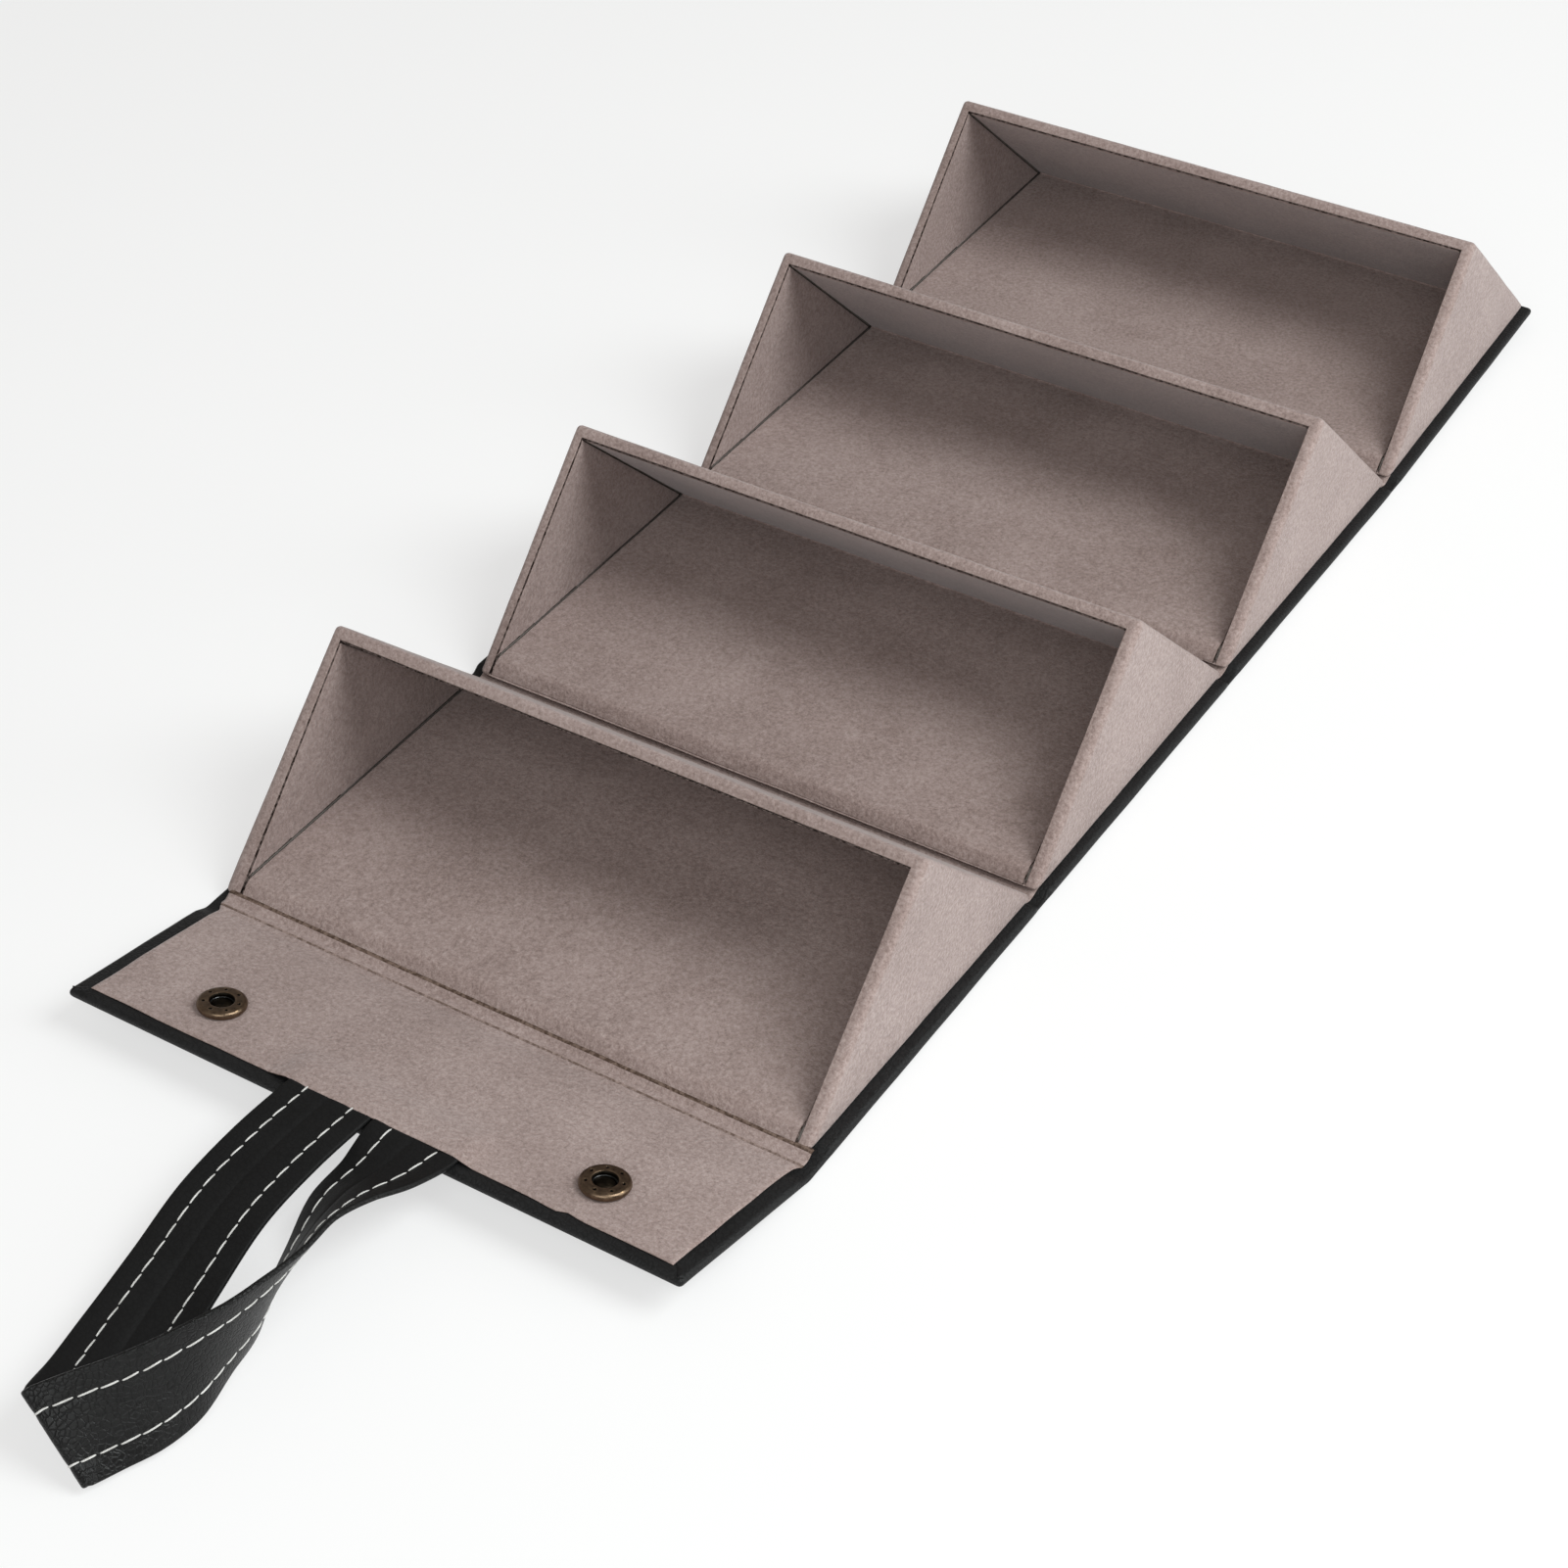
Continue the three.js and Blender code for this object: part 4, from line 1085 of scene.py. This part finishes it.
def strap_stitches():
    """Two sewn rows on both faces: short thread lengths that dip into the strap at their ends."""
    line, across, normal, distance = strap_frames(per_span=24)
    rng = random.Random(7)
    half = STRAP_WIDTH / 2
    points, faces = [], []

    def at(d, table):
        return np.array([np.interp(d, distance, table[:, k]) for k in range(3)])

    for sign in (-1, 1):
        for face in (-1, 1):
            start = 1.0 + (0.4 * STITCH_PITCH if face > 0 else 0.0)
            while start + STITCH_LENGTH < distance[-1] - 1:
                length = STITCH_LENGTH * rng.uniform(0.93, 1.05)
                slant = rng.uniform(0.06, 0.2)
                rings = []
                for k in range(9):
                    t = k / 8
                    d = start + t * length
                    c = sign * (half - STITCH_INSET) + slant * (t - 0.5) * 2
                    dip = 0.34 * abs(2 * t - 1) ** 4
                    lift = strap_half_thickness(c) + 0.12 - dip
                    radius = THREAD * (0.75 + 0.25 * math.sin(math.pi * t))
                    n = at(d, normal)
                    a = at(d, across)
                    centre = at(d, line) + a * c + n * (face * lift)
                    rings.append([centre + a * (radius * u) + n * (face * 0.85 * radius * v)
                                  for u, v in circle(8)])
                new_points, new_faces = loft(rings)
                base = len(points)
                points += new_points
                faces += [tuple(base + v for v in f) for f in new_faces]
                start += STITCH_PITCH * rng.uniform(0.98, 1.03)
    return make_piece("handle_stitches", points, faces, THREAD_WHITE)


strap = strap_piece()
stitches = strap_stitches()
for piece in (strap, stitches):
    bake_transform(piece)
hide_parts("handle_strap", "handle_left_end", "handle_right_end")


# Snaps
DENTS = [2 * math.pi * (j + 0.3) / 7 for j in range(7)]
DENT_RADIUS = 4.4


def dent_distance(x, y):
    return min(math.hypot(x - DENT_RADIUS * math.cos(a), y - DENT_RADIUS * math.sin(a)) for a in DENTS)


def revolve(name, profile, segments=64, dented=False):
    """A turned brass piece about +Z, from (radius, height) points, with round dents on its top ring."""
    closed = profile[0] == profile[-1]
    turns = circle(segments)
    rings = [[(r * c, r * s, z) for c, s in turns] for r, z in (profile[:-1] if closed else profile)]
    points, faces = loft(rings, capped=not closed)
    if closed:
        base = (len(rings) - 1) * segments
        faces += [(base + k, base + (k + 1) % segments, (k + 1) % segments, k) for k in range(segments)]
    if dented:
        top = max(p[2] for p in points)
        points = [(x, y, z - 0.32 * math.exp(-(dent_distance(x, y) / 0.36) ** 4) if z > top - 0.2 else z)
                  for x, y, z in points]
    return make_piece(name, points, faces, BRASS)


def paint_hollow_shade(obj, inside):
    """Gives the faces for which inside(x, y, z) is true a near-black metal: painted shade in a hollow."""
    obj.data.materials.append(BRASS_HOLLOW_SHADE)
    for polygon in obj.data.polygons:
        if inside(*(polygon.center / MM)):
            polygon.material_index = 1


# Painted shade: the socket's hole and the dents in its top ring.
def socket_shade_faces(x, y, z):
    return (math.hypot(x, y) < 3.45 and 0.1 < z < 2.1) or (z > 1.8 and dent_distance(x, y) < 0.34)


def smooth_profile(points, steps=5):
    """Rounds a turned profile by a curve through its points."""
    return [tuple(q) for q in catmull(np.array(points, float), steps)]


def put(obj, matrix_mm):
    m = matrix_mm.copy()
    m.translation = m.translation * MM
    obj.data.transform(m)
    obj.data.update()


SOCKET_PROFILE = (
    [(1.9, 0.0), (5.2, 0.0)]
    + smooth_profile([(5.2, 0.02), (5.75, 0.25), (6.05, 0.75), (6.1, 1.2), (5.95, 1.68), (5.6, 2.02),
                      (5.2, 2.16)])
    + [(r, 2.2) for r in np.linspace(5.0, 3.4, 9)]
    + smooth_profile([(3.2, 2.17), (2.98, 2.02), (2.84, 1.75), (2.8, 1.5)], 4)
    + [(3.4, 1.42), (3.5, 1.3), (3.5, 0.5), (1.9, 0.5), (1.9, 0.0)]
)
CAP_PROFILE = smooth_profile([
    (0.02, -2.0), (1.6, -1.94), (3.1, -1.72), (4.5, -1.3), (5.6, -0.75), (6.1, -0.35), (6.15, -0.15),
    (5.7, -0.08),
])
CAP_PROFILE += [(1.7, -0.08), (1.7, 3.85), (2.4, 3.85), (2.4, 4.08), (0.02, 4.08)]
STUD_PROFILE = smooth_profile([
    (0.02, -2.2), (0.9, -2.19), (1.5, -2.08), (2.05, -1.78), (2.2, -1.5), (2.12, -1.28), (1.85, -1.0),
    (1.75, -0.75), (1.78, -0.52),
], 4)
STUD_PROFILE += [(2.0, -0.42), (3.3, -0.4), (3.48, -0.3), (3.5, -0.1)]
STUD_PROFILE += [(3.4, 0.0), (1.35, 0.0), (1.35, -1.2), (0.02, -1.2)]

for side, sign in SIDES:
    socket = revolve(f"{side}_snap_socket", SOCKET_PROFILE, segments=120, dented=True)
    paint_hollow_shade(socket, socket_shade_faces)
    cap = revolve(f"{side}_snap_cap", CAP_PROFILE)
    # The cap's post, seen through the socket's hole, is painted dark as shade.
    paint_hollow_shade(cap, lambda x, y, z: z > 1.0)
    stud = revolve(f"{side}_snap_stud", STUD_PROFILE)
    x = sign * SNAP_X
    seat = turned((x, FLAP_AXIS_Y, FLAP_FOLD_HEIGHT), -FLAP_REST, (0, -SNAP_REACH, -FLAP_FOLD_HEIGHT))
    base = turned((x, LAST_FOLD, FOLD_HEIGHT), STUD_LEAN, (0, PITCH / 2 + STUD_Y, -FOLD_HEIGHT))
    snaps = [
        (socket, "socket", "flap", seat @ Matrix.Translation((0, 0, SOCKET_SEAT))),
        (cap, "cap", "flap", seat),
        (stud, "stud", "tray_4", base @ Matrix.Translation((0, 0, -STUD_GAP))),
    ]
    for piece, node, body, matrix in snaps:
        put(piece, matrix)
        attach(piece, body)
        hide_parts(f"{side}_{node}")

# CAD pieces that stay: boards, springs and posts
for name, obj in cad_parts.items():
    if obj.hide_render:
        continue
    obj.data.materials.clear()
    obj.data.materials.append(BOARD if name.endswith("board") else SHADED_STEEL)


# Stage, light and camera
def stage_floor():
    mesh = bpy.data.meshes.new("stage_floor")
    signs = ((-1, -1), (1, -1), (1, 1), (-1, 1))
    mesh.from_pydata([(x * FLOOR_SIZE, y * FLOOR_SIZE, FLOOR_LEVEL) for x, y in signs], [], [(0, 1, 2, 3)])
    material, shader, coords = new_material("pale_floor")
    tone = ramp_node(noise_node(coords, 3, 2), [(0.3, (0.90, 0.90, 0.90)), (0.7, (0.91, 0.91, 0.91))])
    fill(shader, {"Base Color": tone}, Roughness=0.9, Specular_IOR_Level=0.1)
    nodes = material.node_tree.nodes
    ray = nodes.new("ShaderNodeLightPath").outputs
    seen = math_node("MAXIMUM", ray["Is Camera Ray"], ray["Is Glossy Ray"])
    seen = math_node("MAXIMUM", seen, ray["Is Transmission Ray"])
    white = nodes.new("ShaderNodeEmission")
    fill(white, {}, Strength=1.0)
    mix = add_node(math_node("MULTIPLY", seen, FLOOR_WHITE), "MixShader", 0)
    fill(mix, {1: shader.outputs[0], 2: white.outputs[0]})
    fill(nodes["Material Output"], {"Surface": mix.outputs[0]})
    mesh.materials.append(material)
    add_object("stage_floor", mesh)


def area_light(name, place, size, power):
    data = bpy.data.lights.new(name, "AREA")
    data.shape = "DISK"
    data.size = size
    data.energy = power
    data.color = LAMP_TINT
    obj = add_object(name, data)
    obj.location = place
    obj.rotation_mode = "QUATERNION"
    obj.rotation_quaternion = (Vector(LAMP_TARGET) - Vector(place)).to_track_quat("-Z", "Y")


def world_light():
    world = bpy.data.worlds.new("studio")
    world.use_nodes = True
    fill(world.node_tree.nodes["Background"], {}, Color=WORLD_TINT, Strength=WORLD_STRENGTH)
    bpy.context.scene.world = world


def photo_camera():
    data = bpy.data.cameras.new("photo_camera")
    data.lens = LENS
    data.sensor_width = SENSOR
    obj = add_object("photo_camera", data)
    back = -Vector(FORWARD).normalized()
    right = Vector(FORWARD).cross(Vector(UP)).normalized()
    up = back.cross(right)
    turn = Matrix((right, up, back)).transposed().to_4x4()
    obj.matrix_world = Matrix.Translation(Vector(EYE) * MM) @ turn
    bpy.context.scene.camera = obj


stage_floor()
world_light()
for lamp in LAMPS:
    area_light(*lamp)
photo_camera()
bpy.context.scene.view_settings.view_transform = "Standard"
